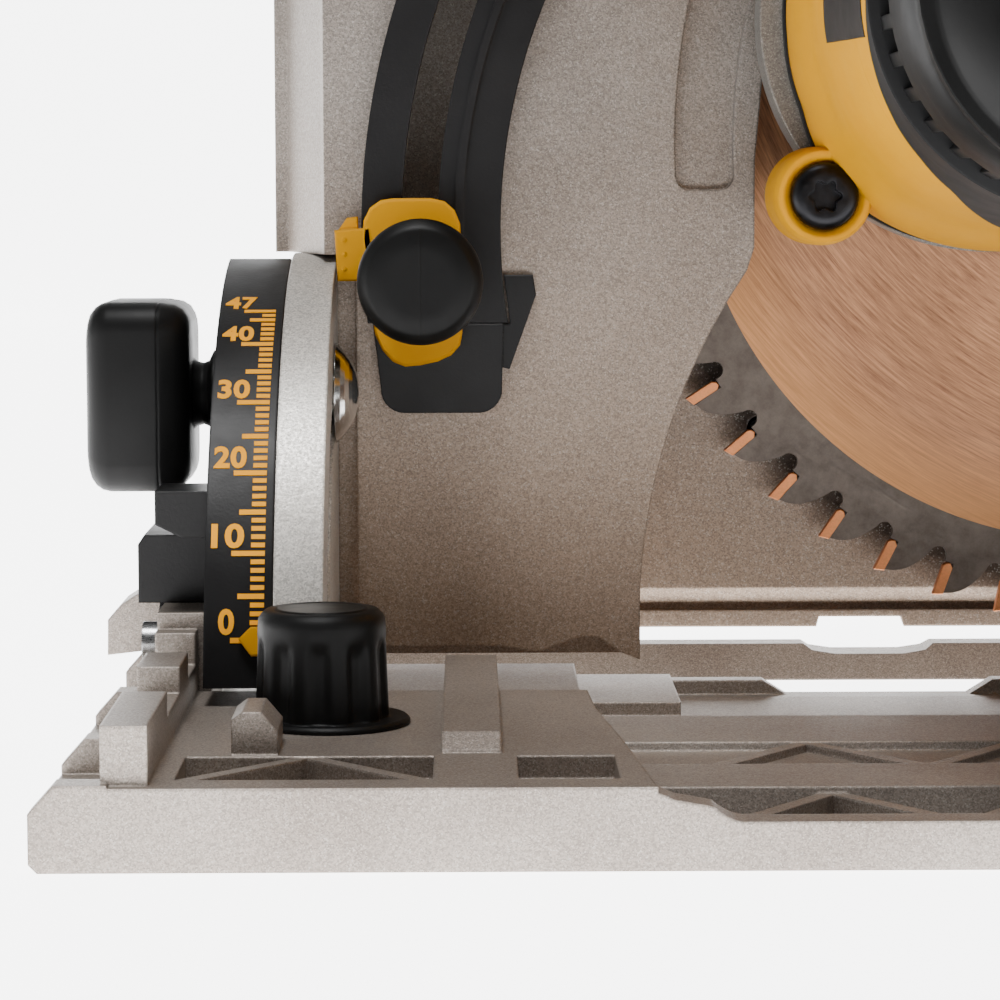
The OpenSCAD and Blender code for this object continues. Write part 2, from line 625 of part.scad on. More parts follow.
// The yellow housing: a flange with screw bosses, then a barrel that narrows towards the cap
module motor_housing() color(yellow) difference() {
    union() {
        barrel();
        for (p = case_screws) rod_y(housing_screw_y, case_y0 - 1.2, 7, p);
    }
    rod_y(housing_y0 - 1, case_y0, 27.7, motor);
    for (p = case_screws) {
        rod_y(housing_screw_y - 1, case_y0, case_hole_r, p);
        rod_y(-12, housing_screw_y, 5.3, p);
    }
}

// The barrel's outside: radii and depths in Y, from the cap to the flange
barrel_rings = [[motor_r - 2.8, housing_y0], [motor_r - 2, -35], [motor_r - 1, -22], [motor_r + 0.2, -8],
    [motor_r + 1, 0], [motor_r + 1.9, 6], [flange_r, 13], [flange_r, case_y0 - 1.2]];

module barrel() translate([motor[0], 0, motor[1]]) rotate([-90, 0, 0]) rotate_extrude()
    polygon(concat([[0, housing_y0]], barrel_rings, [[0, case_y0 - 1.2]]));

// The cap: a vented shell closed at the outer end
vent_n = 14;
module motor_cap() color(black) difference() {
    union() {
        rod_y(cap_y0 + 12, housing_y0, 28.7, motor);
        translate([motor[0], cap_y0 + 12, motor[1]]) rotate([90, 0, 0]) rotate_extrude()
            polygon(concat([[0, 0]], arc([16.7, 0], 12, 0, 90, 8), [[0, 12]]));
    }
    rod_y(cap_y0 + 14, housing_y0 + 1, 26.5, motor);
    rod_y(cap_y0 + 5, housing_y0, 9, motor);
    // Louvres round the side
    for (i = [0:vent_n - 1]) let (a = 360 * (i + 0.5) / vent_n)
        translate([motor[0], 0, motor[1]]) rotate([0, a, 0]) box([24, -68, -1.6], [40, -52, 1.6]);
    for (x = [-16:8:16]) translate([motor[0] + x, cap_y0, motor[1]]) box([-1.6, -1, -15], [1.6, 13, 15]);
}

handle_screws = [[-8, 206], [96, 184], [108, 160], [-2, 153]];

module housing_screws() color(steel) {
    for (p = case_screws) screw_y(housing_screw_y - 3, p, 5.1, 29);
    for (p = handle_screws) screw_y(-grip_w / 2 - 0.6, p, 3.4, 22);
}

module stator() color(steel) {
    difference() {
        rod_y(-34, 6, 27.6, motor);
        rod_y(-35, 7, 19, motor);
    }
    color(copper) for (y = [-40, 6]) difference() {
        rod_y(y, y + 6, 26.6, motor);
        rod_y(y - 1, y + 7, 20, motor);
    }
}

module brush_holders() color("#b08d57") for (s = [-1, 1]) translate([motor[0] + s * 19.2, -55, motor[1]])
    cube([13.6, 9, 7], center = true);

module bearing(y0, y1, r0, r1, xz) difference() {
    rod_y(y0, y1, r1, xz);
    rod_y(y0 - 1, y1 + 1, r0, xz);
}

armature_r = 4.5;
module armature_bearings() color(steel) {
    bearing(21, case_y0 + 1, armature_r + play, 11, motor);
    bearing(cap_y0 + 6, cap_y0 + 13, armature_r + play, 9, motor);
}

module spindle_bearings() color(steel) {
    bearing(boss_y - 8, boss_y - 1, shaft_r + play, 13, spindle);
    bearing(case_y0, case_y0 + 3, shaft_r + play, 8, spindle);
}

module carriage_link_pins() color(steel) for (p = [low_pin, high_pin]) {
    rod_y(case_y0 + 0.5, link_y1 + 0.7, pin_r, p);
    rod_y(link_y1 + 0.2, link_y1 + 0.8, pin_r + 1.6, p);
}

// ---------- handles ----------

// The rear handle's loop in side view, with the opening for the hand
module grip_outline() difference() {
    blob([[-14, 146, 14], [-8, 208, 13], [98, 187, 14], [108, 150, 12]]);
    blob([[14, 164, 6], [15, 183, 6], [84, 172, 6], [88, 160, 6]]);
}

// The motor's outside, which the handles are cut to fit
module motor_outside() {
    rod_y(14, 40, flange_r, motor);
    barrel();
}

module grip_half(y0, y1) difference() {
    side(y0, y1) grip_outline();
    motor_outside();
    // Pockets for the switch, the trigger, the button and the speed dial's stem
    box([12, -6.4, 184], [56, 6.4, 203]);
    box([20, -6.4, 170], [44, 6.4, 186]);
    box([14, -4.6, 202], [36, 4.6, 240]);
    for (p = handle_screws) {
        rod_y(-grip_w, grip_w, 2, p);
        rod_y(-grip_w, 2.5 - grip_w / 2, 3.5, p);
    }
    for (p = case_screws) rod_y(0, 40, 7.4, p);
    rod_y(-grip_w, -10, 3 + play, dial_xz);
    rod_x(100, 130, 5, [0, 150]);
    rod_y(-8.4, 8.4, 1.5 + play, trigger_pin);
}

dial_xz = [-7, 178];

module handle_left() color(black) grip_half(-grip_w / 2, 0);
module handle_right() color(black) grip_half(0, grip_w / 2);

module front_handle() color(black) difference() {
    side(-front_grip_w / 2, front_grip_w / 2) difference() {
        blob([[-42, 146, 10], [-74, 158, 10], [-76, 190, 10], [-26, 211, 9.5]]);
        blob([[-38, 168, 6.5], [-60, 168, 6], [-61, 183, 6], [-38, 191, 6.5]]);
        blob([[-14, 146, 14], [-8, 208, 13]]);
    }
    motor_outside();
    for (p = case_screws) rod_y(0, 40, 7.1, p);
}

module switch_body() color("#3a3a3d") box([30, -6, 192.5], [54, 6, 202]);

module cord_gland() color(black) translate([100, 0, 150]) rotate([0, 90, 0]) difference() {
    union() {
        cylinder(h = 21, r = 5);
        translate([0, 0, 20.2]) cylinder(h = 3, r = 8);
        translate([0, 0, 23.2]) cylinder(h = 24, r1 = 7, r2 = 5);
    }
    translate([0, 0, -1]) cylinder(h = 50, r = 3.7);
    for (z = [27:5:42]) translate([0, 0, z]) difference() {
        cylinder(h = 1.6, r = 9);
        cylinder(h = 1.6, r = 4.8);
    }
}

// ---------- parts on the handle that move ----------

trigger_pin = [17.5, 189];

module trigger() color("#2c2c2e") {
    side(-6, 6) blob([[17.5, 189, 2.8], [24, 187, 2.8], [28, 178.5, 2.4], [38, 177, 2.4], [40, 179.6, 2]]);
    rod_y(-8, 8, 1.5, trigger_pin);
}

module lock_off_button() color(yellow) {
    box([20, -4.5, 205], [30, 4.5, 218]);
    side(-6, 6) polygon([[17, 218], [34, 214.8], [33, 219], [27, 221], [18, 221.6]]);
}

module spindle_lock() color(yellow) {
    translate([lock_xy[0], lock_xy[1], 126.5]) cylinder(h = 28, r = 2.6);
    translate([lock_xy[0], lock_xy[1], 149.4]) cylinder(h = 6, r = 5.5);
}

module speed_dial() color(black) {
    rod_y(-grip_w / 2 - 4, -grip_w / 2 - gap, 10, dial_xz);
    rod_y(-grip_w / 2 - 1, -12, 3, dial_xz);
}

// ---------- spindle and blade ----------

module spindle_shaft() color(steel) rod_y(case_y0 + 0.3, axis_y + 1, shaft_r, spindle);

module inner_flange() color(steel) difference() {
    union() {
        rod_y(51.5, axis_y - plate_t / 2, 19, spindle);
        rod_y(50.3, 51.5, 10, spindle);
    }
    rod_y(50, 57, shaft_r, spindle);
}

module outer_flange() color(steel) difference() {
    rod_y(axis_y + plate_t / 2, axis_y + 3.4, 19, spindle);
    rod_y(axis_y, axis_y + 4, shaft_r, spindle);
}

module blade_screw() color(black) difference() {
    union() {
        rod_y(axis_y + 3.4, axis_y + 7.8, 9, spindle);
        rod_y(axis_y + 1, axis_y + 3.4, shaft_r, spindle);
    }
    translate([spindle[0], axis_y + 4.8, spindle[1]]) rotate([-90, 0, 0]) cylinder(h = 5, r = 3.6, $fn = 6);
}

// One tooth and its gullet: steps round the pitch from the tooth's cutting face, and depths from the tips
tooth_pitch = 360 / teeth;
first_tooth = 212.8;
gullet = [[0, 7.2], [0, 6], [0.16, 6], [0.16, 0.9], [0.6, 2.6], [0.68, 4.4], [0.72, 7.4], [0.82, 8.9],
    [0.93, 8.5]];

module blade() color("#6f6a66") side(axis_y - plate_t / 2, axis_y + plate_t / 2)
    translate(spindle) difference() {
        polygon([for (k = [0:teeth - 1]) for (g = gullet) let (a = first_tooth + (k + g[0]) * tooth_pitch)
            (blade_r - g[1]) * [cos(a), sin(a)]]);
        circle(r = shaft_r);
    }

// A tip is brazed in the step at the front of each tooth
module carbide_tips() color(copper) for (k = [0:teeth - 1]) let (a = first_tooth + k * tooth_pitch)
    translate([spindle[0], axis_y, spindle[1]]) rotate([0, -a, 0])
        translate([blade_r - 5.9, -kerf / 2, 0]) cube([5.9, kerf, 1.55]);

// A gear tooth's outline: fractions of the pitch across, and modules above the pitch circle
tooth = [[-0.27, -1.15], [-0.19, 0], [-0.09, 0.85], [0.09, 0.85], [0.19, 0], [0.27, -1.15]];

module gear(y0, y1, n, bore, turn, xz) {
    r = gear_m * n / 2;
    step = 360 / n;
    side(y0, y1) translate(xz) rotate(turn) difference() {
        polygon([for (i = [0:n - 1]) for (t = tooth) let (a = (i + t[0]) * step)
            (r + t[1] * gear_m) * [cos(a), sin(a)]]);
        circle(r = bore);
    }
}

module spindle_gear() color(steel) gear(gear_y0, gear_y1, gear_n, shaft_r, gear_a, spindle);

// The pinion is cut on the armature's shaft, half a tooth round from the gear
module armature_shaft() color(steel) {
    rod_y(cap_y0 + 5.5, case_y0 + 2.6, armature_r, motor);
    rod_y(case_y0 + 2, gear_y1 + 0.2, armature_r, motor);
    gear(gear_y0, gear_y1, pinion_n, armature_r - 0.5, gear_a + 180 + 180 / pinion_n, motor);
}

module rotor_core() color("#7d5a3a") difference() {
    rod_y(-34, 6, 17.6, motor);
    rod_y(-35, 7, armature_r, motor);
    for (a = [0:30:330]) translate([motor[0], 0, motor[1]]) rotate([0, a, 0])
        box([15.4, -35, -0.9], [19, 7, 0.9]);
}

module commutator() color(copper) difference() {
    rod_y(-64, -46, 11.5, motor);
    rod_y(-65, -45, armature_r, motor);
}

module fan() color(black) difference() {
    union() {
        rod_y(18, 19.6, 27, motor);
        rod_y(12.5, 19, 8, motor);
        for (a = [0:30:330]) translate([motor[0], 0, motor[1]]) rotate([0, a, 0])
            box([7, 13, -0.8], [26, 18.5, 0.8]);
    }
    rod_y(12, 20, armature_r, motor);
}

// The knife behind the blade slides back on a pin at the end of an arm from the gearcase
knife_pin = spindle + 95 * [cos(-5), sin(-5)];
knife_a = 20;
knife_travel = 8;

module knife_arm() color(steel) {
    side(46.3, 49.5) difference() {
        blob([[spindle[0], spindle[1], 14], [knife_pin[0], knife_pin[1], 6]]);
        translate(spindle) circle(r = boss_r);
    }
    rod_y(49.4, axis_y - 0.9, 5.2, knife_pin);
    rod_y(axis_y - 0.9, axis_y + 1.2, 2, knife_pin);
    rod_y(axis_y + 1.1, axis_y + 2.6, 4.2, knife_pin);
}

module riving_knife() color(steel) difference() {
    side(axis_y - 0.8, axis_y + 0.8) translate(spindle) intersection() {
        difference() {
            circle(r = 103);
            circle(r = 86);
        }
        wedge([0, 0], 150, -52, 8);
    }
    for (d = [0, knife_travel]) rod_y(50, 60, 2.3, knife_pin - d * [cos(knife_a), sin(knife_a)]);
    translate([knife_pin[0], axis_y, knife_pin[1]]) rotate([0, -knife_a, 0])
        box([-knife_travel, -2, -2.15], [0, 2, 2.15]);
}

shoe();
front_quadrant();
rear_quadrant();
quadrant_screws();
clamp_bolts();
bevel_stop_block();
front_bevel_knob();
rear_bevel_knob();
front_rail_knob();
rear_rail_knob();
guard_shell();
guard_cover();
front_bevel_bracket();
rear_bevel_bracket();
bevel_pointer();
depth_track();
depth_pad();
guard_link_pins();
guard_screws();
return_spring();
dust_collar();
depth_slider();
depth_knob();
dust_port();
upper_link();
lower_link();
gearcase();
bearing_plate();
gasket();
motor_housing();
motor_cap();
housing_screws();
stator();
brush_holders();
armature_bearings();
spindle_bearings();
carriage_link_pins();
handle_left();
handle_right();
front_handle();
switch_body();
cord_gland();
spindle_shaft();
blade();
carbide_tips();
inner_flange();
outer_flange();
blade_screw();
spindle_gear();
armature_shaft();
rotor_core();
commutator();
fan();
trigger();
lock_off_button();
spindle_lock();
speed_dial();
knife_arm();
riving_knife();
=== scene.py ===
"""A plunge-cut circular saw on a pale floor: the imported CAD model, with detailed pieces over it.

Everything is in metres, in the row frame: +X to the rear, +Y to the blade side, +Z up.
"""

import math

import bmesh
import bpy
from mathutils import Matrix, Vector


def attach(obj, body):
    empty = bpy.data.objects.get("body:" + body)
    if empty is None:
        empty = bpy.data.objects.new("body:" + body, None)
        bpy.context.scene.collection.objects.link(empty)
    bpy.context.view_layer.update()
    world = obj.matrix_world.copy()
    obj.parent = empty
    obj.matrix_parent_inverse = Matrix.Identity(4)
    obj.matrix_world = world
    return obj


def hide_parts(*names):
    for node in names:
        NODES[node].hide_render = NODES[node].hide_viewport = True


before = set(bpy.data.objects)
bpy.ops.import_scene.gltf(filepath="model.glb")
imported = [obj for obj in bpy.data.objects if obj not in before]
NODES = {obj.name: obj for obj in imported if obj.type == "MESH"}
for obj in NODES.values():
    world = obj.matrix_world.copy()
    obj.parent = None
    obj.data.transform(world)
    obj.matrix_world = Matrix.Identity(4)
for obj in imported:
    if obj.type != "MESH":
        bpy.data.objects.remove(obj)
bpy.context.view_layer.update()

MM = 0.001

# The CAD's own places, in millimetres: (x, z) unless the name or a comment says otherwise
SPINDLE = (-3.7, 95.3)
MOTOR = (-27.15, 112.02)
BLADE_Y = 56.0
GUARD_WALL_Y = (60.0, 66.0)     # the guard's inner wall behind the blade lies between these
QUAD_R = 75.0                   # radius of the quadrants' rims
BOLT_YZ = (32.87, 53.19)
# A bevel knob's (x of its hub's side, way that it faces)
KNOB_FACES = {"front_bevel_knob": (-153.0, -1), "rear_bevel_knob": (158.4, 1)}
DEPTH_KNOB = (-116.72, 71.21)
RAIL_KNOBS = {"front_rail_knob": -130.0, "rear_rail_knob": 130.0}   # x
RAIL_KNOB_Y = -32.0
RAIL_KNOB_Z = 10.9              # its foot
CASE_SCREWS = ((-55.3, 84.4), (-55.3, 137.0), (2.0, 139.0), (-27.0, 150.2))
CASE_SCREW_Y = 6.0
HANDLE_SCREWS = ((-8.0, 206.0), (96.0, 184.0), (108.0, 160.0), (-2.0, 153.0))
HANDLE_SCREW_Y = -16.6
COVER_SCREWS = ((-70, 160), (55, 160), (-60, 45), (52, 45))
COVER_SCREW_Y = 72.0
DUST_ELBOW = (157.1, 98.0)      # where the elbow bends
DUST_TURN = 30                  # degrees above level
SPEED_DIAL = (-7.0, 178.0)


# ---------- node trees ----------

# A Mix node has sockets of the same name for numbers, vectors and colours, so these go by number
MIX_COLOUR_A, MIX_COLOUR_B, MIX_COLOUR_OUT = 6, 7, 2
ARC_SQUEEZE = 0.0035        # metres of noise for each radian along a grinding arc


class Tree:
    """A material's node tree, with short calls for the nodes used here."""

    def __init__(self, name):
        self.material = bpy.data.materials.new(name)
        self.material.use_nodes = True
        self.nodes = self.material.node_tree.nodes
        self.links = self.material.node_tree.links
        self.nodes.clear()
        self.surface = self.node("ShaderNodeBsdfPrincipled")
        output = self.node("ShaderNodeOutputMaterial")
        self.join(self.surface.outputs["BSDF"], output.inputs["Surface"])
        self.place = self.node("ShaderNodeTexCoord").outputs["Object"]

    def node(self, kind, **values):
        made = self.nodes.new(kind)
        for key, value in values.items():
            setattr(made, key, value)
        return made

    def join(self, source, target):
        self.links.new(source, target)

    def put(self, socket, value):
        """Sets a socket to a constant, or links it when the value is another socket."""
        if isinstance(value, bpy.types.NodeSocket):
            self.join(value, socket)
        else:
            socket.default_value = value

    def stretched(self, scale, turn=(0, 0, 0)):
        """The object's own coordinates, turned and then scaled, for streaks."""
        turned = self.node("ShaderNodeMapping")
        self.join(self.place, turned.inputs["Vector"])
        turned.inputs["Rotation"].default_value = turn
        mapping = self.node("ShaderNodeMapping")
        self.join(turned.outputs["Vector"], mapping.inputs["Vector"])
        mapping.inputs["Scale"].default_value = scale
        return mapping.outputs["Vector"]

    def offset(self, x, z):
        """How far across and up from a point in the X-Z plane, which is given in millimetres."""
        return self.math("ADD", self.axis("X"), -x * MM), self.math("ADD", self.axis("Z"), -z * MM)

    def distance(self, across, up):
        squares = self.math("ADD", self.math("MULTIPLY", across, across), self.math("MULTIPLY", up, up))
        return self.math("SQRT", squares)

    def grinding(self, x, z):
        """Long thin arcs about a point in the X-Z plane, such as a grinding wheel leaves."""
        across, up = self.offset(x, z)
        joined = self.node("ShaderNodeCombineXYZ")
        self.join(self.distance(across, up), joined.inputs["X"])
        angle = self.math("ARCTAN2", up, across)
        self.join(self.math("MULTIPLY", angle, ARC_SQUEEZE), joined.inputs["Y"])
        return joined.outputs["Vector"]

    def noise(self, scale, detail=2.0, roughness=0.5, where=None):
        made = self.node("ShaderNodeTexNoise")
        self.join(where or self.place, made.inputs["Vector"])
        made.inputs["Scale"].default_value = scale
        made.inputs["Detail"].default_value = detail
        made.inputs["Roughness"].default_value = roughness
        return made.outputs["Fac"]

    def cells(self, scale, output="Distance"):
        made = self.node("ShaderNodeTexVoronoi")
        self.join(self.place, made.inputs["Vector"])
        made.inputs["Scale"].default_value = scale
        return made.outputs[output]

    def spread(self, value, low, high, to_low=0.0, to_high=1.0):
        """Maps low..high onto to_low..to_high, clamped."""
        made = self.node("ShaderNodeMapRange")
        for key, number in (("Value", value), ("From Min", low), ("From Max", high),
                            ("To Min", to_low), ("To Max", to_high)):
            self.put(made.inputs[key], number)
        return made.outputs["Result"]

    def math(self, operation, a, b=0.0):
        made = self.node("ShaderNodeMath", operation=operation)
        self.put(made.inputs[0], a)
        self.put(made.inputs[1], b)
        return made.outputs["Value"]

    def mix(self, factor, a, b, blend="MIX"):
        made = self.node("ShaderNodeMix", data_type="RGBA", blend_type=blend)
        self.put(made.inputs["Factor"], factor)
        self.put(made.inputs[MIX_COLOUR_A], a)
        self.put(made.inputs[MIX_COLOUR_B], b)
        return made.outputs[MIX_COLOUR_OUT]

    def axis(self, name):
        split = self.node("ShaderNodeSeparateXYZ")
        self.join(self.place, split.inputs["Vector"])
        return split.outputs[name]

    def bump(self, height, strength, distance, under=None):
        made = self.node("ShaderNodeBump")
        self.put(made.inputs["Height"], height)
        made.inputs["Strength"].default_value = strength
        made.inputs["Distance"].default_value = distance
        if under:
            self.join(under, made.inputs["Normal"])
        return made.outputs["Normal"]

    def rounded(self, radius):
        """Edges that catch the light as if they were rounded."""
        made = self.node("ShaderNodeBevel", samples=4)
        made.inputs["Radius"].default_value = radius
        return made.outputs["Normal"]

    def finish(self, colour, roughness, metallic=0.0, normal=None, **other):
        self.put(self.surface.inputs["Base Color"], colour)
        self.put(self.surface.inputs["Roughness"], roughness)
        self.surface.inputs["Metallic"].default_value = metallic
        for name, value in other.items():
            self.surface.inputs[name.replace("_", " ")].default_value = value
        if normal:
            self.join(normal, self.surface.inputs["Normal"])
        return self.material


def rgb(red, green, blue):
    """A linear colour from 0..255 display values."""
    def linear(value):
        value /= 255
        return value / 12.92 if value <= 0.04045 else ((value + 0.055) / 1.055) ** 2.4
    return (linear(red), linear(green), linear(blue), 1.0)


# ---------- materials ----------

TINT_Z = (25.0, 100.0)    # the guard's coat is fully its bottom tint below the first height, and its own colour above the second
SHADOW_R = (76.5, 81.5)       # a painted shadow of the blade on the wall behind it fades out between these radii
# The colour of that painted shadow behind the blade
SHADOW_COLOUR = rgb(30, 24, 20)
DISC_R = 68.8               # the blade's ground disc ends here
DISC_GLOW_R = 56.0          # and turns orange from here outwards
GRINDING_CENTRE = (22, 131) # (x, z) that the disc's ground streaks run round


def shaded(t, colour, value):
    """A colour multiplied by a grey value from a socket."""
    grey = t.node("ShaderNodeCombineColor")
    for channel in ("Red", "Green", "Blue"):
        t.join(value, grey.inputs[channel])
    return t.mix(1.0, colour, grey.outputs["Color"], "MULTIPLY")


def coated_casting(name, light, dark, grain, depth, lower_tint=None):
    """Cast metal under a hammered metallic coat: soft mottling, fine grains and small bright flakes.

    The grain is a noise scale and the depth is in millimetres. Given a colour for the bottom, the coat
    turns slowly to it towards the bottom, and the wall behind the blade gets a dark ring of painted shadow.
    """
    t = Tree(name)
    base = t.mix(t.spread(t.noise(26, 3, 0.55), 0.38, 0.62), dark, light)
    if lower_tint:
        # Towards the bottom the coat turns slowly to the given tint
        base = t.mix(t.spread(t.axis("Z"), TINT_Z[0] * MM, TINT_Z[1] * MM), lower_tint, base)
        # Painted shadow: the inner wall behind the blade is darkened in a ring near the blade's rim, where
        # the blade's shade falls
        radius = t.distance(*t.offset(*SPINDLE))
        inside = t.math("MULTIPLY", t.math("GREATER_THAN", t.axis("Y"), GUARD_WALL_Y[0] * MM),
                        t.math("LESS_THAN", t.axis("Y"), GUARD_WALL_Y[1] * MM))
        shadowed = t.math("MULTIPLY", inside, t.spread(radius, SHADOW_R[0] * MM, SHADOW_R[1] * MM, 0.86, 0.0))
        base = t.mix(shadowed, base, SHADOW_COLOUR)
    split = t.node("ShaderNodeSeparateColor")
    t.join(t.cells(grain * 2.0, "Color"), split.inputs["Color"])
    base = shaded(t, base, t.spread(split.outputs["Red"], 0.0, 1.0, 0.68, 1.24))
    flake = t.math("GREATER_THAN", split.outputs["Green"], 0.9)
    base = t.mix(t.math("MULTIPLY", flake, 0.16), base, (0.9, 0.87, 0.8, 1))
    rough = t.spread(t.noise(grain, 2, 0.5), 0.3, 0.7, 0.36, 0.54)
    height = t.math("ADD", t.noise(grain, 3, 0.6), t.math("MULTIPLY", t.noise(grain * 0.4, 2), 1.2))
    normal = t.bump(height, 0.6, depth * MM, t.rounded(0.6 * MM))
    return t.finish(base, rough, 0.55, normal)


def moulded(name, colour, roughness, grain=2600, depth=0.03, wear=0.12, radius=0.5, specular=0.5):
    """Injection-moulded plastic: a fine spark-eroded grain and slight changes of sheen."""
    t = Tree(name)
    base = shaded(t, colour, t.spread(t.noise(30, 3, 0.6), 0.3, 0.7, 1 - wear, 1 + wear))
    rough = t.spread(t.noise(90, 4, 0.6), 0.3, 0.7, roughness - 0.06, roughness + 0.07)
    normal = t.bump(t.noise(grain, 2, 0.6), 0.5, depth * MM, t.rounded(radius * MM))
    return t.finish(base, rough, 0.0, normal, Specular_IOR_Level=specular)


def metal(name, colour, roughness, streak=(1, 1, 1), grain=900, depth=0.012):
    """Bare metal with ground streaks; a larger `streak` along an axis makes them finer that way."""
    t = Tree(name)
    lines = t.noise(grain, 4, 0.65, t.stretched(streak))
    base = t.mix(t.spread(lines, 0.3, 0.7), colour, tuple(min(1, c * 1.25) for c in colour[:3]) + (1,))
    rough = t.spread(lines, 0.3, 0.7, roughness - 0.07, roughness + 0.1)
    normal = t.bump(lines, 0.4, depth * MM, t.rounded(0.3 * MM))
    return t.finish(base, rough, 1.0, normal)


def blade_steel():
    """A brown-grey coated rim round a ground disc that shines like copper, with slanting streaks."""
    t = Tree("blade_steel")
    radius = t.distance(*t.offset(*SPINDLE))
    disc = t.math("LESS_THAN", radius, DISC_R * MM)
    fine = t.noise(2600, 4, 0.75, t.grinding(*GRINDING_CENTRE))
    broad = t.noise(70, 3, 0.6, t.stretched((1, 1, 0.4), (0, math.radians(55), 0)))
    ground = t.mix(t.spread(fine, 0.34, 0.66), rgb(136, 94, 70), rgb(212, 158, 118))
    ground = shaded(t, ground, t.spread(broad, 0.3, 0.7, 0.84, 1.12))
    # Towards the rim the ground steel is a brighter orange
    ground = t.mix(t.spread(radius, DISC_GLOW_R * MM, DISC_R * MM, 0.0, 0.5), ground, rgb(222, 158, 96))
    rim = t.mix(t.spread(t.noise(300, 5, 0.75), 0.3, 0.7), rgb(88, 79, 73), rgb(116, 106, 98))
    base = t.mix(disc, rim, ground)
    height = t.math("MULTIPLY", fine, disc)
    normal = t.bump(t.math("ADD", height, t.math("MULTIPLY", t.noise(2200, 2), 0.25)), 0.35, 0.02 * MM,
                    t.rounded(0.15 * MM))
    return t.finish(base, t.spread(fine, 0.3, 0.7, 0.34, 0.5), 0.72, normal)


def gripped(name, colour):
    """Soft overmoulded rubber with a fine dotted grip texture."""
    t = Tree(name)
    dots = t.spread(t.cells(620), 0.1, 0.45, 1.0, 0.0)
    base = shaded(t, colour, t.spread(t.noise(40, 3), 0.3, 0.7, 0.85, 1.15))
    normal = t.bump(dots, 0.5, 0.12 * MM, t.rounded(0.6 * MM))
    rough = t.spread(t.noise(120, 3), 0.3, 0.7, 0.56, 0.72)
    return t.finish(base, rough, 0.0, normal, Specular_IOR_Level=0.35)


GUARD = coated_casting("guard_coat", rgb(152, 143, 135), rgb(138, 129, 121), 2300, 0.08,
                       lower_tint=rgb(163, 143, 126))
SHOE = coated_casting("shoe_coat", rgb(160, 150, 141), rgb(144, 133, 124), 2600, 0.035)
BRACKET = coated_casting("bracket_coat", rgb(212, 209, 203), rgb(196, 191, 184), 2200, 0.05)
CASTING = coated_casting("gearcase_coat", rgb(140, 138, 134), rgb(122, 119, 114), 2600, 0.02)
BLACK = moulded("black_plastic", rgb(8, 8, 8), 0.46, specular=0.2)
SATIN_BLACK = moulded("black_coat", rgb(17, 16, 17), 0.42, grain=1900, depth=0.05, specular=0.3)
DARK = moulded("dark_plastic", rgb(22, 22, 24), 0.34, specular=0.35)
YELLOW = moulded("yellow_plastic", rgb(208, 146, 0), 0.5, grain=2200, depth=0.02, wear=0.04, specular=0.1)
INK = moulded("scale_ink", rgb(255, 172, 0), 0.6, wear=0.03, radius=0.05, specular=0.2)
RUBBER = moulded("rubber", rgb(16, 16, 17), 0.62, grain=1700, depth=0.04, specular=0.3)
GRIP = gripped("grip_rubber", rgb(21, 21, 22))
SCREW_BLACK = metal("black_screws", rgb(38, 38, 40), 0.36)
STEEL = metal("steel", rgb(150, 150, 150), 0.26, streak=(1, 1, 14))
BRIGHT = metal("bright_steel", rgb(205, 205, 203), 0.14, streak=(1, 6, 6))
CORE = metal("lamination", rgb(96, 94, 92), 0.42, streak=(1, 30, 1))
COPPER = metal("copper", rgb(196, 118, 70), 0.34, streak=(1, 20, 1))
CARBIDE = metal("brazed_carbide", rgb(214, 142, 96), 0.42, grain=2400)
BLADE_STEEL = blade_steel()

PAINTED = {
    GUARD: ("guard_shell", "guard_cover"),
    SHOE: ("shoe",),
    BRACKET: ("front_bevel_bracket", "rear_bevel_bracket"),
    CASTING: ("gearcase", "bearing_plate"),
    SATIN_BLACK: ("front_quadrant", "rear_quadrant", "depth_track", "depth_pad", "bevel_stop_block"),
    BLACK: ("front_bevel_knob", "rear_bevel_knob", "front_rail_knob", "rear_rail_knob", "depth_knob",
            "dust_port", "dust_collar", "handle_left", "handle_right", "front_handle", "speed_dial",
            "motor_cap"),
    DARK: ("switch_body", "trigger", "brush_holders", "fan", "spindle_lock", "lock_off_button"),
    YELLOW: ("motor_housing", "depth_slider", "bevel_pointer"),
    RUBBER: ("gasket", "cord_gland"),
    SCREW_BLACK: ("housing_screws",),
    STEEL: ("quadrant_screws", "guard_link_pins", "guard_screws", "armature_bearings",
            "spindle_bearings", "carriage_link_pins", "spindle_shaft", "inner_flange", "outer_flange",
            "spindle_gear", "armature_shaft", "knife_arm", "riving_knife", "return_spring",
            "upper_link", "lower_link", "blade_screw"),
    BLADE_STEEL: ("blade",),
    BRIGHT: ("clamp_bolts",),
    CORE: ("stator", "rotor_core"),
    COPPER: ("commutator",),
    CARBIDE: ("carbide_tips",),
}

for material, names in PAINTED.items():
    for name in names:
        NODES[name].data.materials.clear()
        NODES[name].data.materials.append(material)


# ---------- shapes ----------

def on_body(name, mesh, material, body):
    """An object of one material that rides on a CAD body."""
    mesh.materials.append(material)
    made = bpy.data.objects.new(name, mesh)
    bpy.context.collection.objects.link(made)
    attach(made, body)
    return made


def along_y(x, z):
    """Places (y, a, b) with a and b across and up from a line along Y."""
    return lambda y, a, b: (x + a, y, z + b)


def along_z(x, y):
    """Places (z, a, b) with a and b in X and Y from an upright line."""
    return lambda z, a, b: (x + a, y + b, z)


def circle(n, radius=1.0):
    """Points round a circle, as (across, up)."""
    return [(radius * math.cos(math.tau * i / n), radius * math.sin(math.tau * i / n)) for i in range(n)]


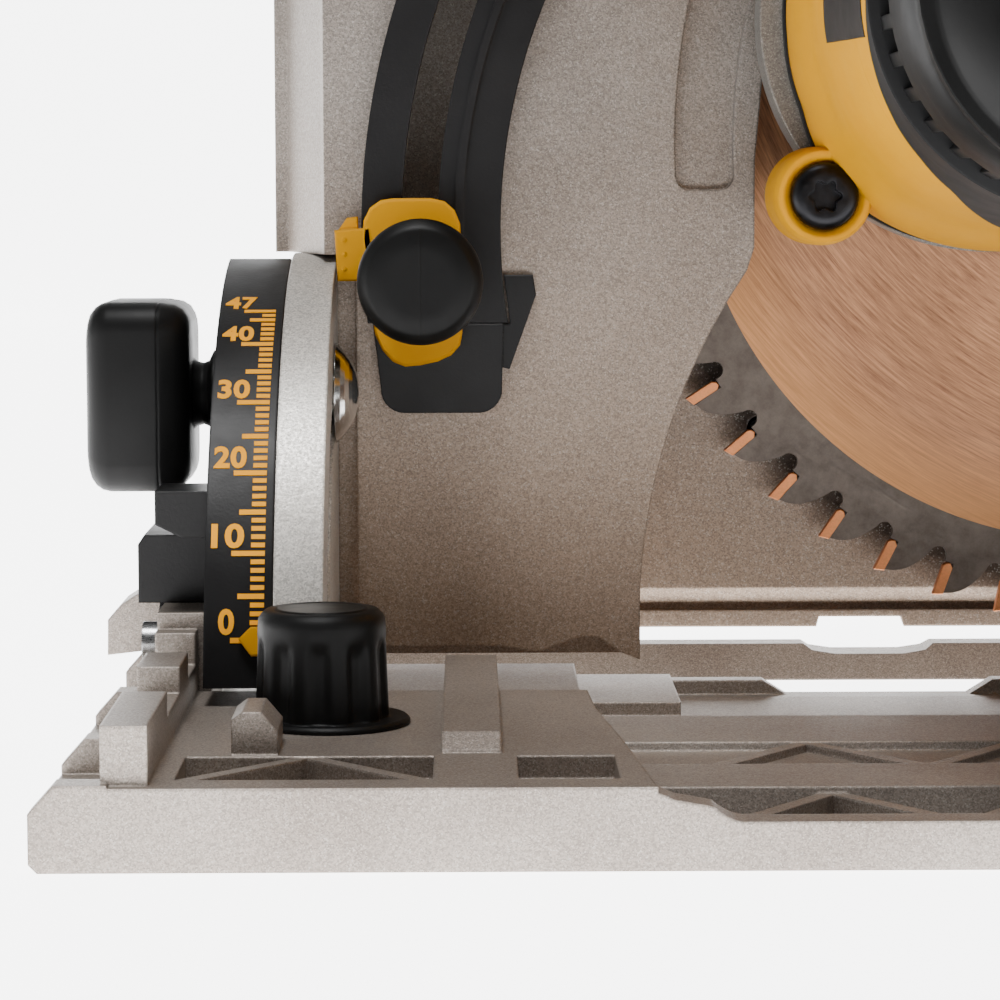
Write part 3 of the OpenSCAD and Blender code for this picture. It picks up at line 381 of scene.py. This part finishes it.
class Shapes:
    """Points (in millimetres) and faces of several closed shapes, gathered into one piece."""

    def __init__(self):
        self.points = []
        self.faces = []

    def rings(self, rings):
        """Closed rings of points in order, joined side by side and capped at both ends."""
        first, count = len(self.points), len(rings[0])
        for ring in rings:
            self.points.extend(ring)
        for k in range(len(rings) - 1):
            for i in range(count):
                a, b = first + k * count, first + (k + 1) * count
                j = (i + 1) % count
                self.faces.append((a + i, a + j, b + j, b + i))
        last = first + (len(rings) - 1) * count
        self.faces.append(tuple(first + i for i in range(count)))
        self.faces.append(tuple(last + i for i in range(count)))

    def lathe(self, profile, place, n=64):
        """Turns (along, radius) steps about the line that place(along, across, up) runs on."""
        self.rings([[place(u, a, b) for a, b in circle(n, r)] for u, r in profile])

    def box(self, low, high):
        """A small block, such as a seam or an index bar, between two corners."""
        (x0, y0, z0), (x1, y1, z1) = low, high
        self.rings([[(x0, y0, z), (x1, y0, z), (x1, y1, z), (x0, y1, z)] for z in (z0, z1)])

    def piece(self, name, material, body, stands_for=(), sharp=32):
        """Makes the piece, riding on a CAD body; edges of more than `sharp` degrees stay sharp."""
        mesh = bpy.data.meshes.new(name)
        mesh.from_pydata([tuple(c * MM for c in p) for p in self.points], [], self.faces)
        work = bmesh.new()
        work.from_mesh(mesh)
        bmesh.ops.recalc_face_normals(work, faces=work.faces)
        work.to_mesh(mesh)
        work.free()
        mesh.polygons.foreach_set("use_smooth", [True] * len(mesh.polygons))
        mesh.set_sharp_from_angle(angle=math.radians(sharp))
        made = on_body(name, mesh, material, body)
        if stands_for:
            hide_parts(*stands_for)


def rounded_rectangle(half_a, half_b, radius, steps=6):
    """Corner points, anticlockwise, of a rectangle with rounded corners."""
    points = []
    for k, (sa, sb) in enumerate(((1, 1), (-1, 1), (-1, -1), (1, -1))):
        for i in range(steps + 1):
            a = math.radians(90 * (k + i / steps))
            points.append((sa * (half_a - radius) + radius * math.cos(a),
                           sb * (half_b - radius) + radius * math.sin(a)))
    return points


def plate_edges(outline, y0, y1, edge):
    """Rings of a plate in X and Z whose two faces have chamfered edges."""
    cx = sum(p[0] for p in outline) / len(outline)
    cz = sum(p[1] for p in outline) / len(outline)
    reach = max(math.hypot(x - cx, z - cz) for x, z in outline)
    k = 1 - edge / reach
    small = [(cx + (x - cx) * k, cz + (z - cz) * k) for x, z in outline]
    return [[(x, y, z) for x, z in ring]
            for ring, y in ((small, y0), (outline, y0 + edge), (outline, y1 - edge), (small, y1))]


# ---------- bevel scale ----------

SCALE_ZERO = 15.7           # the 0 mark's angle above level, in degrees
SCALE_END = 47
SCALE_RIGHT = -139.2        # right ends of the marks
LONG_MARK, MIDDLE_MARK, SHORT_MARK = 4.9, 3.9, 2.05
INK_RAISE = 0.12
INK_SINK = 0.05             # how far the ink reaches into the rim
FIGURES_X = -144.7
FIGURE_RISE = 2.1           # a figure's middle above its mark, in degrees
FIGURE_TALL = 3.9
ONE_FIGURE_WIDE, TWO_FIGURES_WIDE = 2.35, 4.85


def on_rim(x, angle, radius):
    a = math.radians(angle)
    return (x, BLADE_Y - radius * math.cos(a), radius * math.sin(a))


def make_scale():
    """The scale's marks: long ones at the tens and at the end, and middling ones at the fives."""
    marks = Shapes()
    for degree in range(SCALE_END + 1):
        five = degree % 5 == 0
        length = LONG_MARK if degree % 10 == 0 or degree == SCALE_END else MIDDLE_MARK if five else SHORT_MARK
        half = 0.30 if five else 0.27
        left, low, high = SCALE_RIGHT - length, QUAD_R - INK_SINK, QUAD_R + INK_RAISE
        corners = ((left, low), (SCALE_RIGHT, low), (SCALE_RIGHT, high), (left, high))
        marks.rings([[on_rim(x, angle, radius) for x, radius in corners]
                     for angle in (SCALE_ZERO + degree - half, SCALE_ZERO + degree + half)])
    marks.piece("bevel_scale_marks", INK, "shoe")


def make_numerals():
    """Block figures on the rim, wrapped round it."""
    for degree in (0, 10, 20, 30, 40, SCALE_END):
        curve = bpy.data.curves.new("figures", "FONT")
        curve.body = str(degree)
        curve.size = 1.0
        curve.offset = 0.036
        curve.extrude = 0.02
        curve.space_character = 1.05
        curve.resolution_u = 4
        source = bpy.data.objects.new("figures", curve)
        bpy.context.collection.objects.link(source)
        bpy.context.view_layer.update()
        depsgraph = bpy.context.evaluated_depsgraph_get()
        mesh = bpy.data.meshes.new_from_object(source.evaluated_get(depsgraph))
        bpy.data.objects.remove(source)
        xs = [v.co.x for v in mesh.vertices]
        ys = [v.co.y for v in mesh.vertices]
        tall = FIGURE_TALL / (max(ys) - min(ys))
        wide = (ONE_FIGURE_WIDE if degree < 10 else TWO_FIGURES_WIDE) / (max(xs) - min(xs))
        middle_x, middle_y = (max(xs) + min(xs)) / 2, (max(ys) + min(ys)) / 2
        for v in mesh.vertices:
            above = math.degrees((v.co.y - middle_y) * tall / QUAD_R)
            angle = SCALE_ZERO + degree + FIGURE_RISE + above
            radius = QUAD_R + (INK_RAISE if v.co.z > 0 else -INK_SINK)
            x = FIGURES_X + (v.co.x - middle_x) * wide
            v.co = Vector(on_rim(x, angle, radius)) * MM
        mesh.materials.clear()
        on_body(f"bevel_figures_{degree}", mesh, INK, "shoe")


# ---------- blade ----------

TEETH = 48
FIRST_TOOTH = 212.8         # its angle, in degrees
PITCH = 360 / TEETH
TIP_R = 82.5
PLATE_HALF = 0.6            # half the steel plate's thickness
TIP_HALF = 0.9              # half the tips' width
TIP_CHAMFER = 0.10


def around(radius, angle, y):
    a = math.radians(angle)
    return (SPINDLE[0] + radius * math.cos(a), y, SPINDLE[1] + radius * math.sin(a))


def tooth_outline():
    """One pitch of the rim as (share of the pitch, depth from the tips): seat, back, hooked gullet."""
    points = [(0.0, 6.6), (0.0, 6.0), (0.16, 5.9), (0.16, 0.8), (0.28, 1.2), (0.38, 1.8), (0.47, 2.6),
              (0.55, 3.6), (0.62, 4.7), (0.68, 5.8)]
    # The slot beside the next tooth's tip ends in a round
    middle, depth, radius, steps = 0.86, 6.6, 1.4, 8
    width = radius / (math.radians(PITCH) * (TIP_R - depth))
    for i in range(steps + 1):
        a = math.radians(182 + 168 * i / steps)
        points.append((middle + width * math.cos(a), depth - radius * math.sin(a)))
    return points


def make_blade():
    """The steel plate with its gullets, and the carbide tips on it."""
    outline = [(TIP_R - depth, FIRST_TOOTH + (k + share) * PITCH)
               for k in range(TEETH) for share, depth in tooth_outline()]
    shape = Shapes()
    shape.rings([[around(r, a, y) for r, a in outline] for y in (BLADE_Y - PLATE_HALF, BLADE_Y + PLATE_HALF)])
    shape.piece("blade_with_gullets", BLADE_STEEL, "spindle", ("blade",))

    # A tip as (depth, place along the rim): its outer end has a relief slope, its brazed end is rounded
    side = ((5.7, 0.35), (5.9, 1.0), (5.3, 1.6), (0.55, 1.62), (0.0, 0.02), (5.2, 0.0))
    edge = TIP_HALF - TIP_CHAMFER
    slices = ((-TIP_HALF, TIP_CHAMFER), (-edge, 0.0), (edge, 0.0), (TIP_HALF, TIP_CHAMFER))
    tips = Shapes()
    for k in range(TEETH):
        a = math.radians(FIRST_TOOTH + k * PITCH)
        out, on = (math.cos(a), math.sin(a)), (-math.sin(a), math.cos(a))
        rings = []
        for y, inset in slices:
            ring = []
            for depth, w in side:
                r = TIP_R - depth - inset if depth < 3 else TIP_R - depth + inset
                ring.append((SPINDLE[0] + out[0] * r + on[0] * w, BLADE_Y + y,
                             SPINDLE[1] + out[1] * r + on[1] * w))
            rings.append(ring)
        tips.rings(rings)
    tips.piece("carbide_teeth", CARBIDE, "spindle", ("carbide_tips",))


# ---------- clamp knobs ----------

def make_bevel_knob(name, face_x, way):
    """A moulded block with a parting line, round a flared hub."""
    def place(u, y, z):
        return (face_x + way * u, BOLT_YZ[0] + y, BOLT_YZ[1] + z)

    # Distance from the hub's side, half width, half height and corner radius
    steps = ((0.0, 9.4, 11.8, 3.0), (0.3, 10.2, 12.7, 3.4), (1.0, 11.2, 13.8, 3.9), (2.2, 12.2, 14.5, 4.3),
             (4.55, 13.0, 14.9, 4.6), (4.6, 12.85, 14.75, 4.5), (4.85, 12.85, 14.75, 4.5),
             (4.9, 13.0, 14.9, 4.6), (12.5, 13.0, 14.9, 4.6), (13.7, 12.8, 14.65, 4.6),
             (14.7, 12.2, 14.0, 4.4), (15.5, 11.3, 13.0, 4.0), (15.9, 10.2, 11.9, 3.4),
             (16.1, 9.2, 10.9, 2.8), (16.15, 8.2, 9.9, 2.2))
    shape = Shapes()
    shape.rings([[place(u, a, b) for a, b in rounded_rectangle(ha, hb, r)] for u, ha, hb, r in steps])
    shape.lathe([(0.3, 5.0), (0.3, 6.0), (-0.6, 5.2), (-1.6, 4.9), (-2.5, 5.3), (-3.1, 6.6), (-3.3, 6.9),
                 (-3.8, 6.9), (-4.0, 6.3), (-4.9, 6.3), (-4.9, 4.2)], place)
    shape.piece(f"{name}_moulded", BLACK, name, (name,), sharp=40)


def make_rail_knob(name, x):
    """A tapered knob: a smooth collar at the top and ten broad ridges that fade in under it."""
    heights = (0.0, 0.3, 1.2, 2.4, 4.0, 6.0, 8.0, 9.6, 10.6, 11.3, 11.9, 12.6, 14.0, 14.9, 15.5, 15.9, 16.1)
    ridges, n = 10, 120
    foot_r, taper, height = 9.55, 0.62, 16
    top_round, foot_round = 14.5, 1         # the edges are rounded above and below these heights
    collar, fade, groove = 12.3, 1.9, 0.75  # the grooves fade out under the collar
    rings = []
    for z in heights:
        smooth = foot_r - taper * z / height
        if z > top_round:
            smooth -= (z - top_round) ** 2 * 0.42
        if z < foot_round:
            smooth -= (foot_round - z) * 0.25
        rise = min(1.0, max(0.0, (collar - z) / fade)) * min(1.0, 0.35 + z / 2)
        under = 0.1 if z < 12 else 0.0      # the collar stands a little proud
        ring = []
        for i in range(n):
            a = math.tau * i / n
            ridge = 1 / (1 + math.exp(-7 * (math.cos(ridges * a) + 0.1)))
            r = smooth - groove * rise * (1 - ridge) - under
            ring.append((x + r * math.cos(a), RAIL_KNOB_Y + r * math.sin(a), RAIL_KNOB_Z + z))
        rings.append(ring)
    shape = Shapes()
    shape.rings(rings)
    upright = along_z(x, RAIL_KNOB_Y)
    top = ((15.9, 6.6), (16.3, 6.4), (16.35, 5.9), (16.2, 5.6), (16.2, 1.0))
    foot = ((0.0, 11.2), (0.5, 11.2), (0.9, 10.8), (0.9, 3.0))
    shape.lathe([(RAIL_KNOB_Z + u, r) for u, r in top], upright)
    inwards = 1.2 if x < 0 else -1.2        # the foot plate is a dark disc set off centre: a foot, and on one side painted shadow at the knob's base
    shape.lathe([(RAIL_KNOB_Z + u, r) for u, r in foot], along_z(x + inwards, RAIL_KNOB_Y))
    shape.lathe([(0.4, 4.0), (RAIL_KNOB_Z + 0.5, 4.0)], upright, 32)
    shape.piece(f"{name}_fluted", BLACK, name, (name,), sharp=40)


def make_depth_knob():
    """A disc with a wide bevel round its face and a fine parting line, on a stem with a foot."""
    place = along_y(*DEPTH_KNOB)
    x, z = DEPTH_KNOB
    disc = ((17.0, 5.0), (17.0, 8.0), (17.25, 8.5), (18.2, 9.35), (18.9, 9.72), (19.7, 9.8), (24.4, 9.8),
            (25.2, 9.6), (25.9, 9.1), (26.2, 8.4), (26.4, 6.2), (34.9, 6.0), (34.9, 2.5))
    shape = Shapes()
    shape.lathe(disc, place, 96)
    shape.box((x - 0.06, 16.95, z - 8.3), (x + 0.06, 17.1, z + 8.3))
    shape.lathe(((34.9, 2.4), (45.4, 2.4)), place, 32)
    shape.lathe(((45.4, 4.6), (45.7, 5.0), (48.1, 5.0), (48.4, 4.6)), place, 32)
    shape.piece("depth_knob_moulded", BLACK, "depth_knob", ("depth_knob",), sharp=40)


def make_slider():
    """The depth stop's yellow slider: a pad with a rounded foot, and an index tab with a wedge on it."""
    pad = [(-126.1, 78.0), (-125.9, 80.6), (-124.9, 82.6), (-123.2, 83.8), (-121.2, 84.1), (-115.2, 84.1),
           (-113.0, 83.6), (-111.4, 82.2), (-110.5, 80.0), (-110.4, 77.5), (-110.3, 66.0), (-110.2, 62.6),
           (-110.6, 60.6), (-112.0, 59.0), (-114.2, 58.0), (-117.0, 57.4), (-119.4, 57.2), (-121.4, 58.0),
           (-123.0, 59.8), (-124.2, 62.4), (-124.8, 66.0), (-125.4, 72.0)]
    tab = [(-130.6, 79.0), (-125.0, 79.4), (-124.0, 70.9), (-130.1, 70.9)]
    wedge = [(-130.3, 78.6), (-128.6, 81.0), (-126.9, 81.2), (-126.8, 78.6)]
    front, back = 35.2, 38.1
    shape = Shapes()
    shape.rings(plate_edges(pad, front, back, 0.5))
    shape.rings(plate_edges(tab, front, back, 0.25))
    shape.rings(plate_edges(wedge, 36.3, back, 0.2))
    # Three raised dots on the tab
    for z in (77.5, 75.2, 72.9):
        shape.lathe(((35.02, 0.26), (35.3, 0.34)), along_y(-129.0, z), 12)
    shape.box((-119.2, 38.0, 67.0), (-114.5, 41.8, 76.0))
    shape.piece("depth_slider_moulded", YELLOW, "depth_stop", ("depth_slider",), sharp=25)


# ---------- screws ----------

SCREW_STEPS = 48
SOCKET = 0.5                # a socket's radius, as a share of the head's


def six_lobe(radius):
    """A six-lobe socket's outline."""
    outline = []
    for i in range(SCREW_STEPS):
        a = math.tau * i / SCREW_STEPS
        r = radius * (0.86 + 0.14 * math.cos(6 * a))
        outline.append((r * math.cos(a), r * math.sin(a)))
    return outline


def lobed_screw(shape, place, head, thick, shank, way=1):
    """A round-headed screw at the middle of its head's top, with its shank along way."""
    x, y, z = place
    turn, lobes = circle(SCREW_STEPS), six_lobe(head * SOCKET)
    rings = [[(x + a, y + way * depth, z + b) for a, b in lobes] for depth in (1.6, 0.08)]
    for r, depth in ((0.62, 0.0), (0.8, 0.12), (0.93, 0.5), (1.0, 1.1), (1.0, thick - 0.2), (0.95, thick)):
        rings.append([(x + a * head * r, y + way * depth, z + b * head * r) for a, b in turn])
    for r, depth in ((head * 0.5, thick), (head * 0.5, shank - 1), (head * 0.4, shank)):
        rings.append([(x + a * r, y + way * depth, z + b * r) for a, b in turn])
    shape.rings(rings)


def make_screws():
    """The screws of the motor case, the handles and the guard's cover."""
    case = Shapes()
    for x, z in CASE_SCREWS:
        lobed_screw(case, (x, CASE_SCREW_Y, z), 5.1, 3.0, 28)
    for x, z in HANDLE_SCREWS:
        lobed_screw(case, (x, HANDLE_SCREW_Y, z), 3.4, 3.0, 21)
    case.piece("lobed_screws", SCREW_BLACK, "carriage", ("housing_screws",))
    cover = Shapes()
    for x, z in COVER_SCREWS:
        lobed_screw(cover, (x, COVER_SCREW_Y, z), 3.6, 2.0, 6.8, way=-1)
    cover.piece("cover_screws", SCREW_BLACK, "guard", ("guard_screws",))


# ---------- handles, dust outlet and dial ----------

def make_grips():
    """Soft panels let into both sides of the handles; the rear ones have a row of raised bars."""
    rear = [(3.5, 195.4), (3.5, 212.6), (6, 215.0), (82, 199.4), (85, 196.0), (85, 184.6), (82, 182.6),
            (16, 194.4)]
    fore = [(-70.5, 163.0), (-70.5, 187.5), (-68.6, 190.0), (-33.0, 205.2), (-30.5, 203.6), (-32.5, 197.6),
            (-36.0, 196.4), (-62.5, 187.2), (-65.2, 184.0), (-65.4, 164.0)]
    first_bar, bar_pitch = 14, 7.6
    for name, outline, half, bars in (("rear_grip_panels", rear, 16.0, 9),
                                      ("front_grip_panels", fore, 13.0, 0)):
        shape = Shapes()
        for low, high in ((-half - 0.6, -half + 0.3), (half - 0.3, half + 0.6)):
            shape.rings(plate_edges(outline, low, high, 0.35))
            for k in range(bars):
                x = first_bar + bar_pitch * k
                top, foot = 207.6 - 0.205 * (x - first_bar), 197.0 - 0.16 * (x - first_bar)
                bar = [(x - 1.2, foot), (x + 1.2, foot - 0.3), (x + 2.4, top - 0.5), (x, top)]
                # A bar stands out of its panel, on the outer side only
                bar_low, bar_high = (low - 0.5, high) if low < 0 else (low, high + 0.5)
                shape.rings(plate_edges(bar, bar_low, bar_high, 0.3))
        shape.piece(name, GRIP, "carriage", sharp=28)


def make_dust_ribs():
    """Three grip ribs round the dust outlet's mouth."""
    turn = math.radians(DUST_TURN)
    out, up = (math.cos(turn), math.sin(turn)), (-math.sin(turn), math.cos(turn))

    def place(u, a, b):
        return (DUST_ELBOW[0] + u * out[0] + b * up[0], BLADE_Y + a, DUST_ELBOW[1] + u * out[1] + b * up[1])

    shape = Shapes()
    for u in (14.0, 18.0, 22.0):
        shape.lathe(((u, 16.5), (u + 0.3, 17.6), (u + 1.5, 17.6), (u + 1.8, 16.5)), place, 72)
    shape.piece("dust_port_ribs", BLACK, "dust_port", sharp=40)


def make_dial_marks():
    """A milled rim on the speed dial and a raised index bar."""
    x, z = SPEED_DIAL
    ribs = 30
    shape = Shapes()
    for i in range(ribs):
        a = math.tau * i / ribs
        ring = [(r * math.cos(a) - w * math.sin(a), r * math.sin(a) + w * math.cos(a))
                for r, w in ((9.6, -0.5), (10.35, -0.3), (10.35, 0.3), (9.6, 0.5))]
        shape.rings([[(x + p, y, z + q) for p, q in ring] for y in (-19.6, -16.5)])
    shape.box((x - 0.7, -20.35, z + 1), (x + 0.7, -19.9, z + 8.5))
    shape.piece("speed_dial_rim", BLACK, "speed_dial", sharp=28)


# ---------- motor ----------

TURNS = 180                 # points round the barrel

# (depth in Y, radius) of the barrel, from the cap to the flange
BARREL = ((-46.0, 29.2), (-35, 30.0), (-22, 31.0), (-8, 32.2), (0, 33.0), (6, 33.9), (13, 35.5), (25, 35.5))
# (angle, depth in Y) of the black skin's edge, which sweeps along the barrel
SWEEP = ((0, 10), (60, -12), (120, -42), (160, -56), (183, -56.5), (200, -51.5), (216, -45), (227, -42),
         (241, -35), (259, -16), (280, 2), (310, 12), (360, 10))
# (angle, how far the flange's edge stands off the CAD flange), since it isn't round
FLANGE = ((0, 0), (100, 0), (130, -1.2), (160, -2.6), (185, -2.9), (205, -2.4), (220, -0.6), (238, 0.6),
          (262, 0.15), (290, 0), (360, 0))


def along(table, x):
    """The value at x on straight lines between the steps of a table of (x, value)."""
    for (x0, v0), (x1, v1) in zip(table, table[1:]):
        if x <= x1:
            return v0 + (v1 - v0) * max(0.0, x - x0) / (x1 - x0)
    return table[-1][1]


def on_barrel(y, angle, raise_by):
    a = math.radians(angle)
    r = along(BARREL, y) + raise_by
    return (MOTOR[0] + r * math.cos(a), y, MOTOR[1] + r * math.sin(a))


def barrel_ring(y, raise_by):
    return [on_barrel(y, 360 * i / TURNS, raise_by) for i in range(TURNS)]


def make_overmould():
    """Two skins round the motor: yellow, then black over it with an edge that sweeps along the barrel."""
    steps, sunk, yellow_end = 12, -3.0, -40.0
    for name, material, lift, start in (("motor_yellow_skin", YELLOW, 0.35, -57.6),
                                        ("motor_overmould", RUBBER, 0.85, -58.4)):
        rings = [barrel_ring(start, sunk)]
        for k in range(steps + 2):
            ring = []
            for i in range(TURNS):
                angle = 360 * i / TURNS
                end = along(SWEEP, angle) if material == RUBBER else yellow_end
                y = start + (end - start) * min(1.0, k / steps)
                ring.append(on_barrel(y, angle, lift if k <= steps else -0.5))
            rings.append(ring)
        rings.append(barrel_ring(start + 0.5, sunk))
        shape = Shapes()
        shape.rings(rings)
        shape.piece(name, material, "carriage", sharp=50)


def make_housing():
    """The yellow housing: a crowned flange whose edge follows the motor, screw bosses and a barrel."""
    # (depth in Y, how far off the barrel); the flange's own outline comes in over flange_over
    profile = ((-45.5, -0.6), (-45.5, 0.0), (-35, 0.0), (-22, 0.0), (-12, 0.0), (-6, 0.0), (-2, 0.08),
               (1, 0.3), (4, 0.8), (8, 1.1), (13, 0.55), (18, 0.25), (23.2, 0.0), (23.8, -0.5), (23.8, -6.0))
    flange_from, flange_over = -20, 30
    rings = []
    for y, extra in profile:
        share = min(1.0, max(0.0, (y - flange_from) / flange_over))
        rings.append([on_barrel(y, angle, extra + share * along(FLANGE, angle))
                      for angle in (360 * i / TURNS for i in range(TURNS))])
    boss = ((9.0, 5.2), (8.2, 5.4), (7.6, 6.2), (7.7, 6.9), (8.4, 7.3), (12, 7.5), (24.0, 7.6), (24.0, 3.0))
    shape = Shapes()
    shape.rings(rings)
    for x, z in CASE_SCREWS:
        shape.lathe(boss, along_y(x, z), 48)
    shape.piece("motor_housing_shaped", YELLOW, "carriage", ("motor_housing",), sharp=42)

    lift, low, high, width = 0.35, 23.7, 25.9, 6.0
    seal = Shapes()
    seal.rings([[on_barrel(y, angle, lift - inner + along(FLANGE, angle))
                 for angle in (360 * i / TURNS for i in range(TURNS))]
                for y, inner in ((low, width), (low, 0.0), (high, 0.0), (high, width))])
    seal.piece("gasket_shaped", RUBBER, "carriage", ("gasket",))


def make_label():
    """A blank dark rating plate on the barrel's front side."""
    start, length, steps = -47.5, 27, 8
    first_angle, sweep, n = 160, 32, 10
    lean = 0.05                 # degrees for each millimetre along the barrel
    rings = []
    for k in range(steps + 1):
        y = start + length * k / steps
        outer, inner = ([on_barrel(y, first_angle + sweep * i / n - lean * (y + 47), lift)
                         for i in range(n + 1)] for lift in (0.52, 0.1))
        rings.append(outer + inner[::-1])
    shape = Shapes()
    shape.rings(rings)
    shape.piece("rating_plate", DARK, "carriage")


def make_motor_cap():
    """The cap: ribs between cooling slots round the side and a grille of slats on the end."""
    place = along_y(*MOTOR)
    shape = Shapes()
    shape.lathe([(-58, 24.0), (-58, 28.4), (-57, 28.7), (-50, 28.7), (-45.2, 28.7), (-45.2, 24.0)], place, 96)
    shape.lathe([(-88, 3.0), (-88, 6.5), (-87.6, 7.6), (-86.4, 8.2), (-86.0, 8.2), (-86, 3)], place)
    shape.lathe([(-76, 22.0), (-76, 28.4), (-74, 28.6), (-70, 28.7), (-69, 28.7), (-69, 22)], place, 96)
    # Ribs round the side, standing between the two rings
    ribs = 36
    for i in range(ribs):
        a = math.tau * i / ribs
        ring = [(r * math.cos(a) - w * math.sin(a), r * math.sin(a) + w * math.cos(a))
                for r, w in ((23.0, -0.75), (28.5, -0.95), (28.5, 0.95), (23.0, 0.75))]
        shape.rings([[place(y, p, q) for p, q in ring] for y in (-70, -57)])
    # The end: a rounded rim that carries a grille
    steps = 8
    rim = [(-76.0, 21.0)]
    for i in range(steps + 1):
        a = math.radians(90 * i / steps)
        rim.append((-76 - 11.8 * math.sin(a), 16.9 + 11.6 * math.cos(a)))
    rim += [(-87.2, 14.8), (-85.0, 14.6), (-85.0, 14.0)]
    shape.lathe(rim, place, 96)
    shape.lathe([(-84.5, 0.5), (-84.5, 27.0), (-80, 27.0), (-80, 0.5)], place)
    mouth, slat_pitch, slat_half = 14.9, 3.3, 0.8
    for k in range(-4, 5):
        z = k * slat_pitch
        half = math.sqrt(mouth ** 2 - z * z)
        low, high = z - slat_half, z + slat_half
        shape.rings([[place(y, p, q) for p, q in ((-half, low), (half, low), (half, high), (-half, high))]
                     for y in (-87.3, -84)])
    # A liner behind the ribs
    shape.lathe([(-72, 10.0), (-72, 22.5), (-52, 22.5), (-52, 10.0)], place)
    shape.piece("motor_cap_with_slats", BLACK, "carriage", ("motor_cap",), sharp=35)


# ---------- build ----------

make_scale()
make_numerals()
make_blade()
for knob, (face, outwards) in KNOB_FACES.items():
    make_bevel_knob(knob, face, outwards)
for knob, knob_x in RAIL_KNOBS.items():
    make_rail_knob(knob, knob_x)
make_depth_knob()
make_slider()
make_screws()
make_grips()
make_dust_ribs()
make_dial_marks()
make_housing()
make_overmould()
make_label()
make_motor_cap()


# ---------- camera, light and floor ----------

CAMERA_PLACE = (-0.109264, -0.486841, 0.086848)
YAW, PITCH_DOWN, ROLL = 0.551, 5.595, 0.136     # degrees
LENS, SENSOR = 117.34, 36
WORLD_LIGHT = 0.14
FLOOR_GLOW = 5.6
FLOOR_DROP = 0.0002         # keeps the floor's face off the shoe's


def make_camera():
    """The photograph's view: a long lens, nearly square on, a little above the shoe."""
    yaw, pitch, roll = (math.radians(a) for a in (YAW, PITCH_DOWN, ROLL))
    forward = Vector((math.sin(yaw) * math.cos(pitch), math.cos(yaw) * math.cos(pitch), -math.sin(pitch)))
    level = Vector((math.cos(yaw), -math.sin(yaw), 0))
    upright = level.cross(forward)
    right = level * math.cos(roll) - upright * math.sin(roll)
    up = level * math.sin(roll) + upright * math.cos(roll)
    data = bpy.data.cameras.new("camera")
    data.sensor_width = SENSOR
    data.lens = LENS
    camera = bpy.data.objects.new("camera", data)
    turned = Matrix((right, up, -forward)).transposed().to_4x4()
    camera.matrix_world = Matrix.Translation(CAMERA_PLACE) @ turned
    bpy.context.collection.objects.link(camera)
    bpy.context.scene.camera = camera


def make_light(name, place, aim, size, power, colour=(1, 1, 1)):
    data = bpy.data.lights.new(name, "AREA")
    data.shape = "RECTANGLE"
    data.size, data.size_y = size
    data.energy = power
    data.color = colour
    light = bpy.data.objects.new(name, data)
    light.location = place
    light.rotation_euler = (Vector(aim) - Vector(place)).to_track_quat("-Z", "Y").to_euler()
    bpy.context.collection.objects.link(light)


def make_studio():
    """A pale floor that curves up behind the saw, and soft lights from above and from both sides."""
    world = bpy.data.worlds.new("world")
    bpy.context.scene.world = world
    world.use_nodes = True
    background = world.node_tree.nodes["Background"]
    background.inputs["Color"].default_value = (1, 1, 1, 1)
    background.inputs["Strength"].default_value = WORLD_LIGHT
    make_light("key", (-0.22, -0.30, 1.08), (-0.05, 0.0, 0.09), (0.3, 0.3), 10.0)
    make_light("fill", (0.9, -0.8, 0.35), (0, 0, 0.1), (0.5, 0.5), 1.1, (1, 0.93, 0.84))
    make_light("left", (-1.1, -0.1, 0.5), (-0.1, 0, 0.08), (0.5, 0.7), 1.1)
    make_light("back", (0.2, 1.0, 1.0), (0, 0, 0.1), (0.8, 0.5), 1.5)

    t = Tree("floor")
    white = t.finish((0.9, 0.9, 0.9, 1), 0.65, Emission_Color=(1, 1, 1, 1))
    # It glows like a light table from just in front of the saw backwards, and fades out sideways and upwards
    near = t.spread(t.axis("Y"), -0.44, -0.14, 0.0, FLOOR_GLOW)
    low = t.spread(t.axis("Z"), 0.30, 1.30, 1.0, 0.0)
    beside = t.spread(t.math("ABSOLUTE", t.axis("X")), 0.7, 3.0, 1.0, 0.0)
    t.put(t.surface.inputs["Emission Strength"], t.math("MULTIPLY", near, t.math("MULTIPLY", low, beside)))
    # The floor's profile in metres: flat, then a quarter round, then a wall
    half, front, depth, radius, top, steps = 6.0, -4.0, 1.6, 1.2, 5.0, 24
    profile = [(front, 0.0), (depth, 0.0)]
    profile += [(depth + radius * math.sin(a), radius * (1 - math.cos(a)))
                for a in (math.pi / 2 * i / steps for i in range(1, steps + 1))]
    profile.append((depth + radius, top))
    count = len(profile)
    mesh = bpy.data.meshes.new("floor")
    mesh.from_pydata([(x, y, z) for x in (-half, half) for y, z in profile], [],
                     [(i, i + 1, count + i + 1, count + i) for i in range(count - 1)])
    mesh.polygons.foreach_set("use_smooth", [True] * len(mesh.polygons))
    mesh.materials.append(white)
    floor = bpy.data.objects.new("floor", mesh)
    floor.location.z = -FLOOR_DROP
    bpy.context.collection.objects.link(floor)


make_camera()
make_studio()
